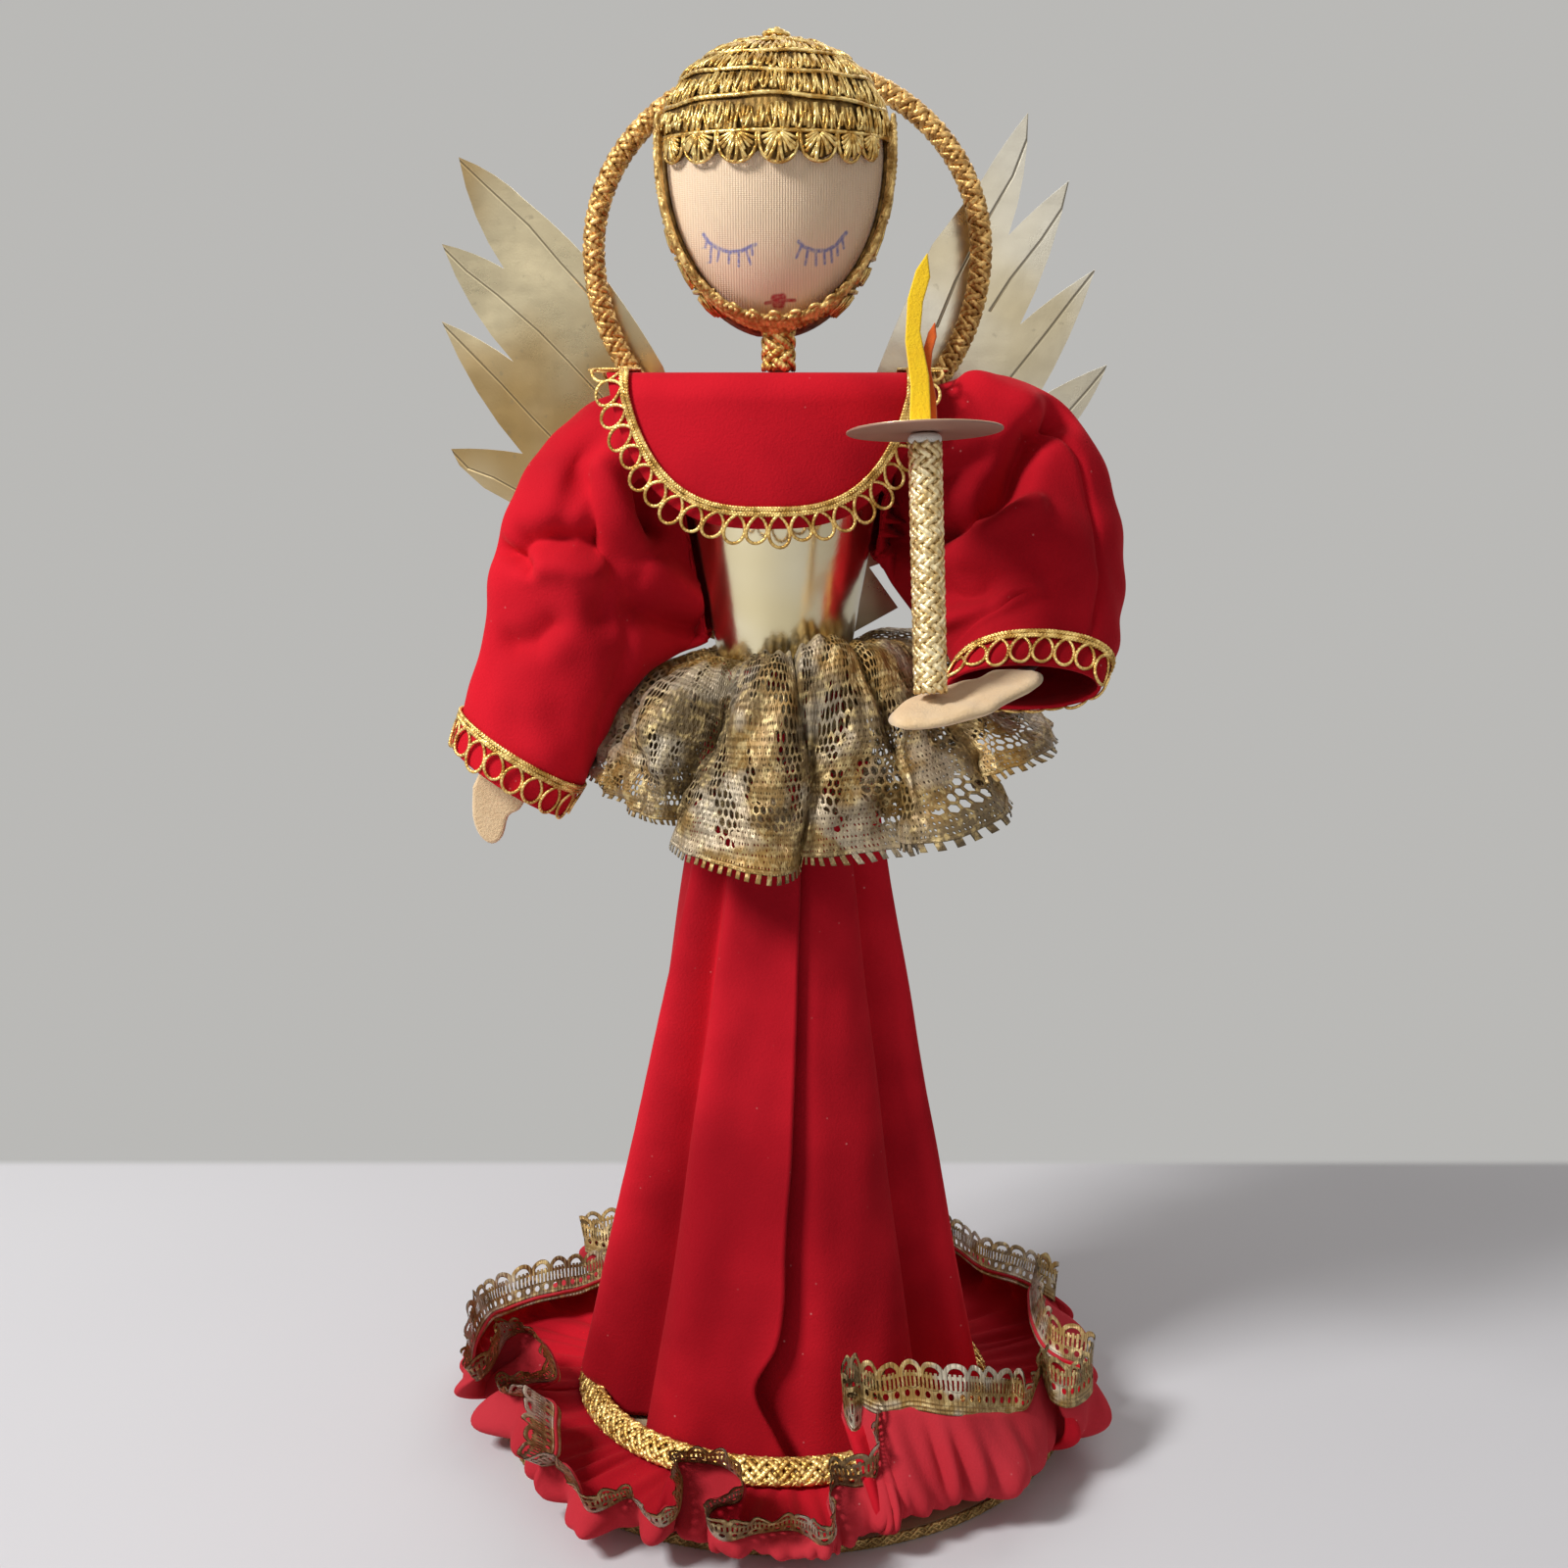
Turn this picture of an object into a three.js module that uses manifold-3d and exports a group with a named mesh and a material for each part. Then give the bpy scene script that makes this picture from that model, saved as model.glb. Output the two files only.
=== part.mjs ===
// Tabletop angel in red velvet, gold foil and gold braid, with a felt candle in the left hand.
// Millimetres, +Z up. The front faces -Y and the angel's right hand is at -X.
// The origin is the centre of the base disc's underside.
import * as THREE from 'three';
import { mergeVertices } from 'three/addons/utils/BufferGeometryUtils.js';
import Module from 'manifold-3d';

const { clamp, lerp, smoothstep, euclideanModulo } = THREE.MathUtils;
const wasm = await Module();
wasm.setup();

// Stock and clearances
const seat = 0.3;
const overrun = 3;
const velvet = 1.2;
const card = 0.8;
const laceCloth = 0.9;
const braid = 1.6;
const feltSheet = 1.4;

// Base
const discRadius = 85;
const discThickness = 3.2;
const rimBraidThickness = 1.1;
const rimBraidWidth = 3;

// Hem braid over the skirt's foot
const hemBraidRadius = 63.5;
const hemBraidSpan = 7.2;
const hemBraidRise = 7.6;
const hemBraidThickness = 1.8;

// Ruffle round the base, with its lace
const ruffleRimRadius = 82.5;
const ruffleHeight = 17.5;
const ruffleFlare = 6;
const ruffleWave = 4.2;
const laceEdgeWidth = 11.5;
const ruffleWaves = 16;

// Skirt and the card cone inside it
const skirtFoldDepth = 4.6;
const skirtOverlap = 3.4;
const skirtFlare = 0.158;
const coneFootRadius = 42;
const coneTuck = 3;

// Bodice
const waistHeight = 229;
const waistRadius = 18.6;
const bodiceHeight = 74;
const bodiceFlare = 0.174;

// Yoke: an oval of velvet folded over the shoulders, front and back alike
const shoulderRise = 7;
const yokeMiddle = -4.3;
const yokeHalfWidth = 44.3;
const yokeDrop = 40.5;
const yokeEase = 1.6;
const yokeTrimOut = 3.6;
const yokeTrimIn = 6.4;

// Lace peplum at the waist
const peplumTop = 2;
const peplumRise = 9;
const peplumReach = 48;
const peplumFall = 54;
const peplumFold = 4.2;
const peplumFolds = 10;

// Arms and sleeves
const wireRadius = 1;
const rightReach = 94.5;
const rightFall = 124.5;
const rightForward = 6;
const leftReach = 95;
const leftFall = 97;
const leftForward = 36;
const sleeveDepth = 20.5;
const cuffTrimWidth = 11.5;
const bendGap = 0.5;

// Hands and candle
const handLength = 27;
const handWidth = 15.5;
const palmLength = 40;
const palmWidth = 13.5;
const palmFromShoulder = [37.5, -62, -84.8];
const palmPoint = [-0.79, -0.55, -0.25];
const palmFacing = [0, -0.35, 1];
const candleRadius = 4.5;
const candleBore = 3;
const candleLength = 64;
const candleBare = 2;
const candleLean = 0.157;
const candleTilt = 0.026;
const panRadius = 20;
const panThickness = 0.7;
const flameHeight = 44;
const flameWidth = 5.6;
const emberHeight = 27;

// Head, hair and neck
const headFromShoulder = [-2.4, 3, 55];
const headHalfWidth = 32.6;
const crownRise = 33;
const chinDrop = 47;
const hairThickness = 2.2;
const coverThickness = 0.7;
const faceAbove = 6;
const faceBelow = 43.5;
const hairEdgeAhead = [5, 14.4];
const faceBraidAhead = [12.8, 17.2];
const faceBraidProud = 0.9;
const fringeWidth = 8.6;
const knotRadius = 4.4;
const knotHeight = 3.2;
const neckPlace = [-1.5, -6];
const neckStickRadius = 2.5;
const neckBraidRadius = 4.75;
const neckStickInHead = 29;
const neckStickInBodice = 15;

// Halo hoop and wings
const haloRadius = 3.15;
const haloFromShoulder = [1, 34.4];
const haloHalfWidth = 56.6;
const haloRise = 51.7;
const haloDrop = 59;
const haloLean = 0.03;
const haloEndGap = 5;
const wingLength = 155;
const wingRoot = 4;
const wingAboveWaist = 16;
const wingContact = 13;
const wingSweep = 0.1;
const rightWingTurn = 0.18;
const leftWingTurn = 0;
const rightWingNearer = 1;
const foilCard = 0.8;

// Sizes that follow from those above
const discTop = discThickness;
const rimRadius = discRadius + seat + rimBraidThickness;
const bodiceTopHeight = waistHeight + bodiceHeight;
const shoulderHeight = bodiceTopHeight + shoulderRise;
const palmCentre = [palmFromShoulder[0], palmFromShoulder[1], shoulderHeight + palmFromShoulder[2]];
const [headX, headY] = headFromShoulder;
const headHeight = shoulderHeight + headFromShoulder[2];
const faceTop = headHeight + faceAbove;
const faceBottom = headHeight - faceBelow;
const neckStickTop = headHeight - chinDrop + neckStickInHead;
const neckStickFoot = bodiceTopHeight - neckStickInBodice;
const [haloX, haloMiddle] = [haloFromShoulder[0], shoulderHeight + haloFromShoulder[1]];
const wingFoot = waistHeight + wingAboveWaist;
const bodiceRadius = (height) => waistRadius + bodiceFlare * (height - waistHeight);
const coneFootHeight = discTop + seat;
const coneTopHeight = waistHeight + coneTuck;
const coneTopRadius = waistRadius - card - 2 * seat;
const coneSlope = (coneFootRadius - coneTopRadius) / (coneTopHeight - coneFootHeight);
const coneRadius = (height) => coneTopRadius + coneSlope * (coneTopHeight - height);
const hemInnerRadius = hemBraidRadius - hemBraidSpan;
const hemFootHeight = discTop + seat + velvet + seat;

// Materials
const finish = (color, roughness, metalness = 0) =>
  new THREE.MeshStandardMaterial({ color, roughness, metalness, flatShading: true });
const red = finish(0xb5121f, 0.95);
const gold = finish(0xb8892f, 0.42, 0.9);
const brightGold = finish(0xd9b566, 0.38, 0.85);
const antique = finish(0x7d6335, 0.6, 0.55);
const foil = finish(0xd5cba0, 0.28, 0.95);
const board = finish(0xb79d74, 0.9);
const flesh = finish(0xe3be9c, 0.9);
const cream = finish(0xe9c992, 0.95);
const yellow = finish(0xf7ce00, 0.95);
const orange = finish(0xde5a12, 0.95);
const steel = finish(0x8d8d8a, 0.4, 0.9);
const foam = finish(0xf1efe8, 0.9);

const angel = new THREE.Group();
angel.name = 'tinsel_angel';

function vector(x, y, z) {
  return new THREE.Vector3(x, y, z);
}

function place(name, geometry, material, holder = angel) {
  const mesh = new THREE.Mesh(geometry, material);
  mesh.name = name;
  holder.add(mesh);
  return mesh;
}

// Six times the volume that the faces enclose: negative where they point inwards.
function enclosed(geometry) {
  const at = geometry.getAttribute('position');
  const index = geometry.index.array;
  const [a, b, c] = [vector(), vector(), vector()];
  let total = 0;
  for (let i = 0; i < index.length; i += 3) {
    a.fromBufferAttribute(at, index[i]);
    b.fromBufferAttribute(at, index[i + 1]);
    c.fromBufferAttribute(at, index[i + 2]);
    total += a.dot(b.cross(c));
  }
  return total;
}

// Merges shared corners and turns the faces outwards.
function closed(geometry) {
  const bare = geometry.clone();
  bare.deleteAttribute('normal');
  bare.deleteAttribute('uv');
  const merged = mergeVertices(bare, 1e-4);
  if (enclosed(merged) < 0) {
    const index = merged.index.array;
    for (let i = 0; i < index.length; i += 3) {
      [index[i], index[i + 1]] = [index[i + 1], index[i]];
    }
  }
  merged.computeVertexNormals();
  return merged;
}

function toSolid(geometry) {
  const shape = closed(geometry);
  return new wasm.Manifold(new wasm.Mesh({
    numProp: 3,
    vertProperties: new Float32Array(shape.getAttribute('position').array),
    triVerts: new Uint32Array(shape.index.array),
  }));
}

function fromSolid(solid) {
  const mesh = solid.getMesh();
  const geometry = new THREE.BufferGeometry();
  geometry.setAttribute('position', new THREE.BufferAttribute(mesh.vertProperties, mesh.numProp));
  geometry.setIndex(new THREE.BufferAttribute(mesh.triVerts, 1));
  geometry.computeVertexNormals();
  return geometry;
}

const cut = (geometry, ...tools) =>
  fromSolid(tools.reduce((solid, tool) => solid.subtract(toSolid(tool)), toSolid(geometry)));
const common = (geometry, tool) => fromSolid(toSolid(geometry).intersect(toSolid(tool)));

// A profile of [radius, height] points turned about the upright axis.
function turned(profile, sides, x = 0, y = 0) {
  const points = profile.map(([radius, height]) => new THREE.Vector2(radius, height));
  return closed(new THREE.LatheGeometry(points, sides).rotateX(Math.PI / 2).translate(x, y, 0));
}

const ring = (inner, outer, low, high, sides, x = 0, y = 0) =>
  turned([[inner, low], [outer, low], [outer, high], [inner, high], [inner, low]], sides, x, y);
const rod = (radius, low, high, sides, x = 0, y = 0) =>
  turned([[0, low], [radius, low], [radius, high], [0, high]], sides, x, y);

// An outline of [across, up] points as an upright plate facing the front, centred on y.
function plate(outline, thickness, y = 0) {
  const shape = new THREE.Shape(outline.map(([across, up]) => new THREE.Vector2(across, up)));
  const geometry = new THREE.ExtrudeGeometry(shape, { depth: thickness, bevelEnabled: false });
  return closed(geometry.rotateX(Math.PI / 2).translate(0, y + thickness / 2, 0));
}

// A sheet with a wall: an outer and an inner grid of points, walled along their open edges.
// The first direction closes on itself where ring is true.
function sheet(columns, rows, outer, inner, round = true) {
  const points = [];
  const faces = [];
  const width = round ? columns : columns + 1;
  for (const face of [outer, inner]) {
    for (let row = 0; row <= rows; row++) {
      for (let column = 0; column < width; column++) {
        points.push(face(column / columns, row / rows));
      }
    }
  }
  const half = width * (rows + 1);
  const at = (side, column, row) => side * half + row * width + (column % width);
  const quad = (a, b, c, d) => faces.push(a, b, c, a, c, d);
  for (let row = 0; row < rows; row++) {
    for (let column = 0; column < columns; column++) {
      const [next, above] = [column + 1, row + 1];
      quad(at(0, column, row), at(0, next, row), at(0, next, above), at(0, column, above));
      quad(at(1, column, row), at(1, column, above), at(1, next, above), at(1, next, row));
    }
  }
  for (let column = 0; column < columns; column++) {
    const next = column + 1;
    quad(at(1, column, 0), at(1, next, 0), at(0, next, 0), at(0, column, 0));
    quad(at(0, column, rows), at(0, next, rows), at(1, next, rows), at(1, column, rows));
  }
  if (!round) {
    for (let row = 0; row < rows; row++) {
      const above = row + 1;
      quad(at(0, 0, row), at(0, 0, above), at(1, 0, above), at(1, 0, row));
      quad(at(1, columns, row), at(1, columns, above), at(0, columns, above), at(0, columns, row));
    }
  }
  const geometry = new THREE.BufferGeometry();
  const corners = points.flatMap((point) => point.toArray());
  geometry.setAttribute('position', new THREE.Float32BufferAttribute(corners, 3));
  geometry.setIndex(faces);
  return closed(geometry);
}

// The same surface moved along its own normal.
function offset(surface, distance) {
  const nudge = 1e-3;
  return (u, v) => {
    const across = surface(u + nudge, v).sub(surface(u - nudge, v));
    const along = surface(u, v + nudge).sub(surface(u, v - nudge));
    return surface(u, v).addScaledVector(across.cross(along).normalize(), distance);
  };
}

const cloth = (columns, rows, surface, thickness, round = true) =>
  sheet(columns, rows, offset(surface, thickness / 2), offset(surface, -thickness / 2), round);

// A point at a radius and height, its azimuth counted from the front towards +X.
const around = (radius, azimuth, height) =>
  vector(radius * Math.sin(azimuth), -radius * Math.cos(azimuth), height);
const bump = (distance, width) => Math.exp(-((distance / width) ** 2));
const turnBetween = (a, b) => Math.atan2(Math.sin(a - b), Math.cos(a - b));
const ease = (t) => smoothstep(t, 0, 1);

// A smooth value between evenly spaced entries of a table.
function tableAt(table, t) {
  const spot = clamp(t, 0, 1) * (table.length - 1);
  const low = Math.min(Math.floor(spot), table.length - 2);
  const [start, end] = [table[low], table[low + 1]];
  const before = table[low - 1] ?? 2 * start - end;
  const after = table[low + 2] ?? 2 * end - start;
  const s = spot - low;
  const [leave, arrive] = [(end - before) / 2, (after - start) / 2];
  return start + leave * s + (3 * (end - start) - 2 * leave - arrive) * s ** 2
    + (2 * (start - end) + leave + arrive) * s ** 3;
}

// The same round a closed loop, whose table starts at the front and goes round by +X.
function loopAt(table, azimuth) {
  const count = table.length;
  const spot = euclideanModulo(azimuth / (2 * Math.PI), 1) * count;
  const low = Math.floor(spot) % count;
  const entry = (step) => table[(low + step + count) % count];
  const s = spot - Math.floor(spot);
  const [leave, arrive] = [(entry(1) - entry(-1)) / 2, (entry(2) - entry(0)) / 2];
  return entry(0) + leave * s + (3 * (entry(1) - entry(0)) - 2 * leave - arrive) * s ** 2
    + (2 * (entry(0) - entry(1)) + leave + arrive) * s ** 3;
}

// Base disc with its gold rim
place('base_disc', rod(discRadius, 0, discThickness, 72), board);
const rimLow = (discThickness - rimBraidWidth) / 2;
place('base_rim_braid', ring(discRadius + seat, rimRadius, rimLow, rimLow + rimBraidWidth, 72), gold);

// Ruffle: flat and gathered over the disc, then standing up past its rim in waves.
const ruffleHeightShares = [0.92, 1.75, 1.1, 0.9, 0.9, 0.95, 1.25, 0.95];
const ruffleHeightAt = (azimuth) => ruffleHeight * loopAt(ruffleHeightShares, azimuth);
function ruffleSurface(u, v) {
  const azimuth = u * 2 * Math.PI;
  const wander = 0.9 * Math.sin(3 * azimuth + 0.6) + 0.5 * Math.sin(5 * azimuth + 2.1);
  const wave = Math.sin(ruffleWaves * azimuth + wander);
  const out = ease(Math.min(v / 0.55, 1));
  const up = Math.max(v - 0.3, 0) / 0.7;
  const flop = 1 + 0.5 * bump(turnBetween(azimuth, -0.4), 0.6);
  const floor = discTop + seat + velvet / 2;
  const radius = lerp(hemInnerRadius + 2 * seat, ruffleRimRadius, out)
    + ruffleFlare * flop * up ** 2 + ruffleWave * wave * up ** 1.5;
  return around(radius, azimuth, floor + ruffleHeightAt(azimuth) * up ** 1.3);
}
place('base_ruffle', cloth(84, 4, ruffleSurface, velvet), red);

// Lace edge, standing on from the ruffle's top
function ruffleLaceSurface(u, v) {
  const start = ruffleSurface(u, 1);
  const azimuth = u * 2 * Math.PI;
  const lean = 0.12 + 0.5 * bump(turnBetween(azimuth, -0.4), 0.7);
  const out = around(1, azimuth, 0);
  const rise = seat + velvet / 4 + v * laceEdgeWidth;
  return start.addScaledVector(out, rise * lean).add(vector(0, 0, rise * Math.sqrt(1 - lean ** 2)));
}
place('ruffle_lace', cloth(84, 1, ruffleLaceSurface, laceCloth), antique);

// Hem braid: a flat gold braid lying on the slope between skirt and ruffle
const hemFoot = hemFootHeight + hemBraidThickness;
place('hem_braid', turned([
  [hemBraidRadius - hemBraidThickness, hemFootHeight],
  [hemBraidRadius, hemFootHeight],
  [hemBraidRadius, hemFoot],
  [hemInnerRadius + hemBraidThickness, hemFootHeight + hemBraidRise],
  [hemInnerRadius, hemFootHeight + hemBraidRise],
  [hemInnerRadius, hemFootHeight + hemBraidRise - hemBraidThickness],
  [hemBraidRadius - hemBraidThickness, hemFootHeight],
], 48), brightGold);

// Card cone that carries the skirt and the bodice
place('skirt_cone', turned([
  [coneFootRadius - card, coneFootHeight], [coneFootRadius, coneFootHeight],
  [coneTopRadius, coneTopHeight], [coneTopRadius - card, coneTopHeight],
  [coneFootRadius - card, coneFootHeight],
], 48), board);

// Skirt: a velvet cone with an overlap down the front and long folds
const skirtFoot = discTop + seat + velvet + seat;
const skirtTop = waistHeight - seat;
const overlapTurns = [0.05, -0.12, -0.02, 0.03, 0.06, 0.09, 0.12, 0.16, 0.2, 0.22];
const skirtFolds = [
  { foot: -1.3, top: -0.75, width: 0.26, share: 0.8 },
  { foot: 1.32, top: 1.1, width: 0.28, share: 0.32 },
  { foot: -0.5, top: -0.4, width: 0.3, share: 0.25 },
  { foot: 0.75, top: 0.6, width: 0.3, share: 0.3 },
  { foot: 2.2, top: 2.0, width: 0.26, share: 0.7 },
  { foot: -2.25, top: -2.0, width: 0.26, share: 0.7 },
  { foot: 3.0, top: 3.1, width: 0.3, share: 0.8 },
];
function skirtSurface(u, v) {
  const height = lerp(skirtFoot, skirtTop, v);
  const overlap = tableAt(overlapTurns, v);
  const fromFront = 2 * Math.PI * (u - 0.5);
  const azimuth = fromFront + overlap * bump(fromFront, 1);
  const spread = 1 - 0.75 * v;
  let radius = coneRadius(skirtTop) + seat + velvet + skirtOverlap * 0.3
    + skirtFlare * (skirtTop - height) - skirtFoldDepth * 0.35 * spread;
  for (const fold of skirtFolds) {
    const line = lerp(fold.foot, fold.top, v);
    radius += skirtFoldDepth * fold.share * spread * bump(turnBetween(azimuth, line), fold.width);
  }
  const past = fromFront > 0 ? Math.exp(-fromFront / 0.3) : -Math.exp(fromFront / 0.25) * 0.35;
  radius -= skirtOverlap * past * (1 - 0.7 * v);
  const inward = Math.min(hemInnerRadius - velvet - seat, radius);
  const grown = ease((height - skirtFoot) / hemBraidRise - 0.4);
  return around(lerp(inward, radius, grown), azimuth, height);
}
place('skirt', cloth(52, 8, skirtSurface, velvet), red);

// Bodice: a foil-covered cone, closed by a disc at the shoulders
const bodiceTopRadius = bodiceRadius(bodiceTopHeight);
place('bodice_cone', turned([
  [waistRadius - card, waistHeight], [waistRadius, waistHeight],
  [bodiceTopRadius, bodiceTopHeight], [bodiceTopRadius - card, bodiceTopHeight],
  [waistRadius - card, waistHeight],
], 48), foil);
const stickHole = rod(neckStickRadius + seat, neckStickFoot - overrun,
  shoulderHeight + overrun, 20, ...neckPlace);
const topDiscRadius = bodiceTopRadius - card - seat - bodiceFlare * card;
place('bodice_top', cut(rod(topDiscRadius, bodiceTopHeight - card, bodiceTopHeight, 48), stickHole), board);

// Yoke: its flat oval is laid over the shoulder line and down the bodice, front and back.
const yokeDepth = bodiceTopRadius + yokeEase + velvet / 2;
const yokeRise = shoulderHeight - velvet / 2 - bodiceTopHeight;
const yokeFlat = yokeDepth - yokeRise;
const yokeBend = yokeRise * Math.PI / 2;
const yokeHalfLength = yokeFlat + yokeBend + yokeDrop - yokeRise;
function yokeSurface(across, down) {
  const length = Math.abs(down);
  const turn = clamp((length - yokeFlat) / yokeRise, 0, Math.PI / 2);
  const hang = Math.max(length - yokeFlat - yokeBend, 0);
  const wrap = 1 - 0.32 * (across / yokeHalfWidth) ** 2;
  const depth = Math.min(length, yokeFlat) + yokeRise * Math.sin(turn) - bodiceFlare * hang;
  return vector(yokeMiddle + across, -Math.sign(down) * depth * wrap,
    bodiceTopHeight + yokeRise * Math.cos(turn) - hang);
}
// The oval's edge in the flat cloth, as a squarer sort of ellipse
const yokeSquare = 2.8;
function yokeEdge(turn, beyond) {
  const [across, down] = [Math.cos(turn), Math.sin(turn)];
  const reach = (Math.abs(across) ** yokeSquare + Math.abs(down) ** yokeSquare) ** (-1 / yokeSquare);
  return [(yokeHalfWidth + beyond) * across * reach, (yokeHalfLength + beyond) * down * reach];
}
const neckHoleRadius = neckStickRadius + 2 * seat;
function yokeHole(turn) {
  const across = neckPlace[0] - yokeMiddle + neckHoleRadius * Math.cos(turn);
  return [across, -neckPlace[1] + neckHoleRadius * Math.sin(turn)];
}
const between = (from, to, t) =>
  yokeSurface(lerp(from[0], to[0], t), lerp(from[1], to[1], t));
const yokeRows = 8;
function yokeFace(u, v) {
  const turn = u * 2 * Math.PI;
  const row = v * yokeRows - (yokeRows - 1);
  const seamLine = yokeEdge(turn, -yokeTrimIn);
  if (row < 0) return between(yokeHole(turn), seamLine, 1 + row / (yokeRows - 1));
  return between(seamLine, yokeEdge(turn, 0), row);
}
place('yoke', cloth(40, yokeRows, yokeFace, velvet), red);

// Loop trim on the yoke's edge, as a flat band with the same corners as the cloth under it
function yokeTrimFace(u, v) {
  const turn = u * 2 * Math.PI;
  if (v < 0.5) return between(yokeEdge(turn, -yokeTrimIn), yokeEdge(turn, 0), 2 * v);
  return between(yokeEdge(turn, 0), yokeEdge(turn, yokeTrimOut), 2 * v - 1);
}
const trimLift = velvet / 2 + seat;
place('yoke_trim', sheet(40, 2,
  offset(yokeTrimFace, trimLift + braid), offset(yokeTrimFace, trimLift)), gold);

// Peplum: gathered lace that stands out from the waist and falls in deep folds
const peplumReachShares = [0.6, 0.84, 1, 0.82, 0.68, 0.64, 0.6, 0.6];
const peplumFallShares = [1, 0.76, 0.42, 0.5, 0.56, 0.58, 0.6, 0.82];
const peplumRiseShares = [0.9, 1, 0.8, 0.2, 0, 0, 0, 0.3];
const peplumRadius = bodiceRadius(waistHeight + peplumTop) + seat + laceCloth / 2;
function peplumSurface(u, v) {
  const azimuth = u * 2 * Math.PI;
  const wander = 0.8 * Math.sin(2 * azimuth + 1) + 0.5 * Math.sin(3 * azimuth);
  const wave = peplumFold * Math.sin(peplumFolds * azimuth + wander);
  const out = Math.max(v, 0) ** 0.8;
  const reach = peplumReach * loopAt(peplumReachShares, azimuth) * out;
  const radius = peplumRadius + reach + wave * (out - 0.2 * v);
  const rise = peplumRise * loopAt(peplumRiseShares, azimuth) * Math.sin(Math.PI * Math.min(v * 2, 1));
  const fall = peplumFall * loopAt(peplumFallShares, azimuth) * Math.max(v, 0) ** 1.7;
  return around(radius, azimuth, waistHeight + peplumTop + rise - fall + wave * v / 2);
}
place('peplum_lace', cloth(64, 4, peplumSurface, laceCloth), antique);

// Sleeves: each is drawn by its outer and its inner seam, in places from shoulder to cuff.
// A fold is a crease: it lies at an angle from the outer seam towards the front.
const rightSleeve = {
  side: -1, reach: rightReach, fall: rightFall, forward: rightForward,
  outerAcrossShares: [0.2, 0.46, 0.645, 0.783, 0.862, 0.889, 0.931, 1],
  outerFallShares: [0.012, 0.044, 0.116, 0.249, 0.402, 0.562, 0.691, 0.835],
  outerForwardShares: [0, 0.1, 0.4, 0.6, 0.8, 0.9, 1, 1],
  innerAcrossShares: [0.12, 0.25, 0.328, 0.402, 0.476, 0.54, 0.608, 0.672],
  innerFallShares: [0.578, 0.606, 0.627, 0.668, 0.735, 0.815, 0.916, 1],
  innerForwardShares: [0, 0.1, 0.4, 0.6, 0.8, 0.9, 1, 1],
  depthShares: [0.86, 0.95, 1, 0.95, 0.84, 0.74, 0.69, 0.66],
  wireShare: 0.88,
  folds: [
    { at: 1.9, slope: 2.2, along: 0.3, width: 0.42, reach: 0.24, share: 0.2 },
    { at: 1.1, slope: -1.6, along: 0.55, width: 0.42, reach: 0.24, share: 0.16 },
  ],
};
const leftSleeve = {
  side: 1, reach: leftReach, fall: leftFall, forward: leftForward,
  outerAcrossShares: [0.2, 0.42, 0.61, 0.8, 0.937, 1, 0.968, 0.895],
  outerFallShares: [0.012, 0.046, 0.02, 0.082, 0.268, 0.536, 0.732, 0.861],
  outerForwardShares: [0, 0, 0, 0.03, 0.08, 0.22, 0.55, 0.94],
  innerAcrossShares: [0.14, 0.263, 0.326, 0.39, 0.442, 0.484, 0.495, 0.458],
  innerFallShares: [0.515, 0.526, 0.608, 0.68, 0.742, 0.794, 0.825, 0.845],
  innerForwardShares: [0, 0.03, 0.11, 0.22, 0.36, 0.5, 0.7, 1.05],
  depthShares: [0.86, 0.93, 1, 1, 1, 0.92, 0.76, 0.58],
  wireShare: 0.7,
  folds: [
    { at: 1.3, slope: -2.4, along: 0.42, width: 0.42, reach: 0.24, share: 0.24 },
    { at: 1.9, slope: -1.2, along: 0.62, width: 0.4, reach: 0.2, share: 0.16 },
  ],
};
function seam(sleeve, line, t) {
  const across = sleeve.reach * tableAt(sleeve[`${line}AcrossShares`], t);
  const fall = sleeve.fall * tableAt(sleeve[`${line}FallShares`], t);
  const forward = sleeve.forward * tableAt(sleeve[`${line}ForwardShares`], t);
  return vector(sleeve.side * across, -forward, shoulderHeight - fall);
}
const middle = (sleeve, t) => seam(sleeve, 'outer', t).add(seam(sleeve, 'inner', t)).multiplyScalar(0.5);
function ahead(sleeve, t) {
  const nudge = 0.02;
  return middle(sleeve, Math.min(t + nudge, 1)).sub(middle(sleeve, Math.max(t - nudge, 0))).normalize();
}
const sleeveSurface = (sleeve) => (u, v) => {
  const turn = u * 2 * Math.PI;
  const half = seam(sleeve, 'outer', v).sub(seam(sleeve, 'inner', v)).multiplyScalar(0.5);
  const depth = sleeveDepth * tableAt(sleeve.depthShares, v);
  const deep = ahead(sleeve, v).cross(half).normalize().multiplyScalar(depth);
  let swell = 1;
  for (const fold of sleeve.folds) {
    const line = sleeve.side * (fold.at + fold.slope * (v - fold.along));
    swell -= fold.share * bump(turnBetween(turn, line), fold.width) * bump(v - fold.along, fold.reach);
  }
  const beyond = sleeveRun(sleeve) * (v - clamp(v, 0, 1));
  return middle(sleeve, v).addScaledVector(ahead(sleeve, v), beyond)
    .addScaledVector(half, Math.cos(turn) * (1 + swell) / 2)
    .addScaledVector(deep, Math.sin(turn) * swell);
};
// Length of the sleeve's middle line for a full step of v, at the cuff
const sleeveRun = (sleeve) => middle(sleeve, 1).distanceTo(middle(sleeve, 0.98)) / 0.02;

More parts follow.
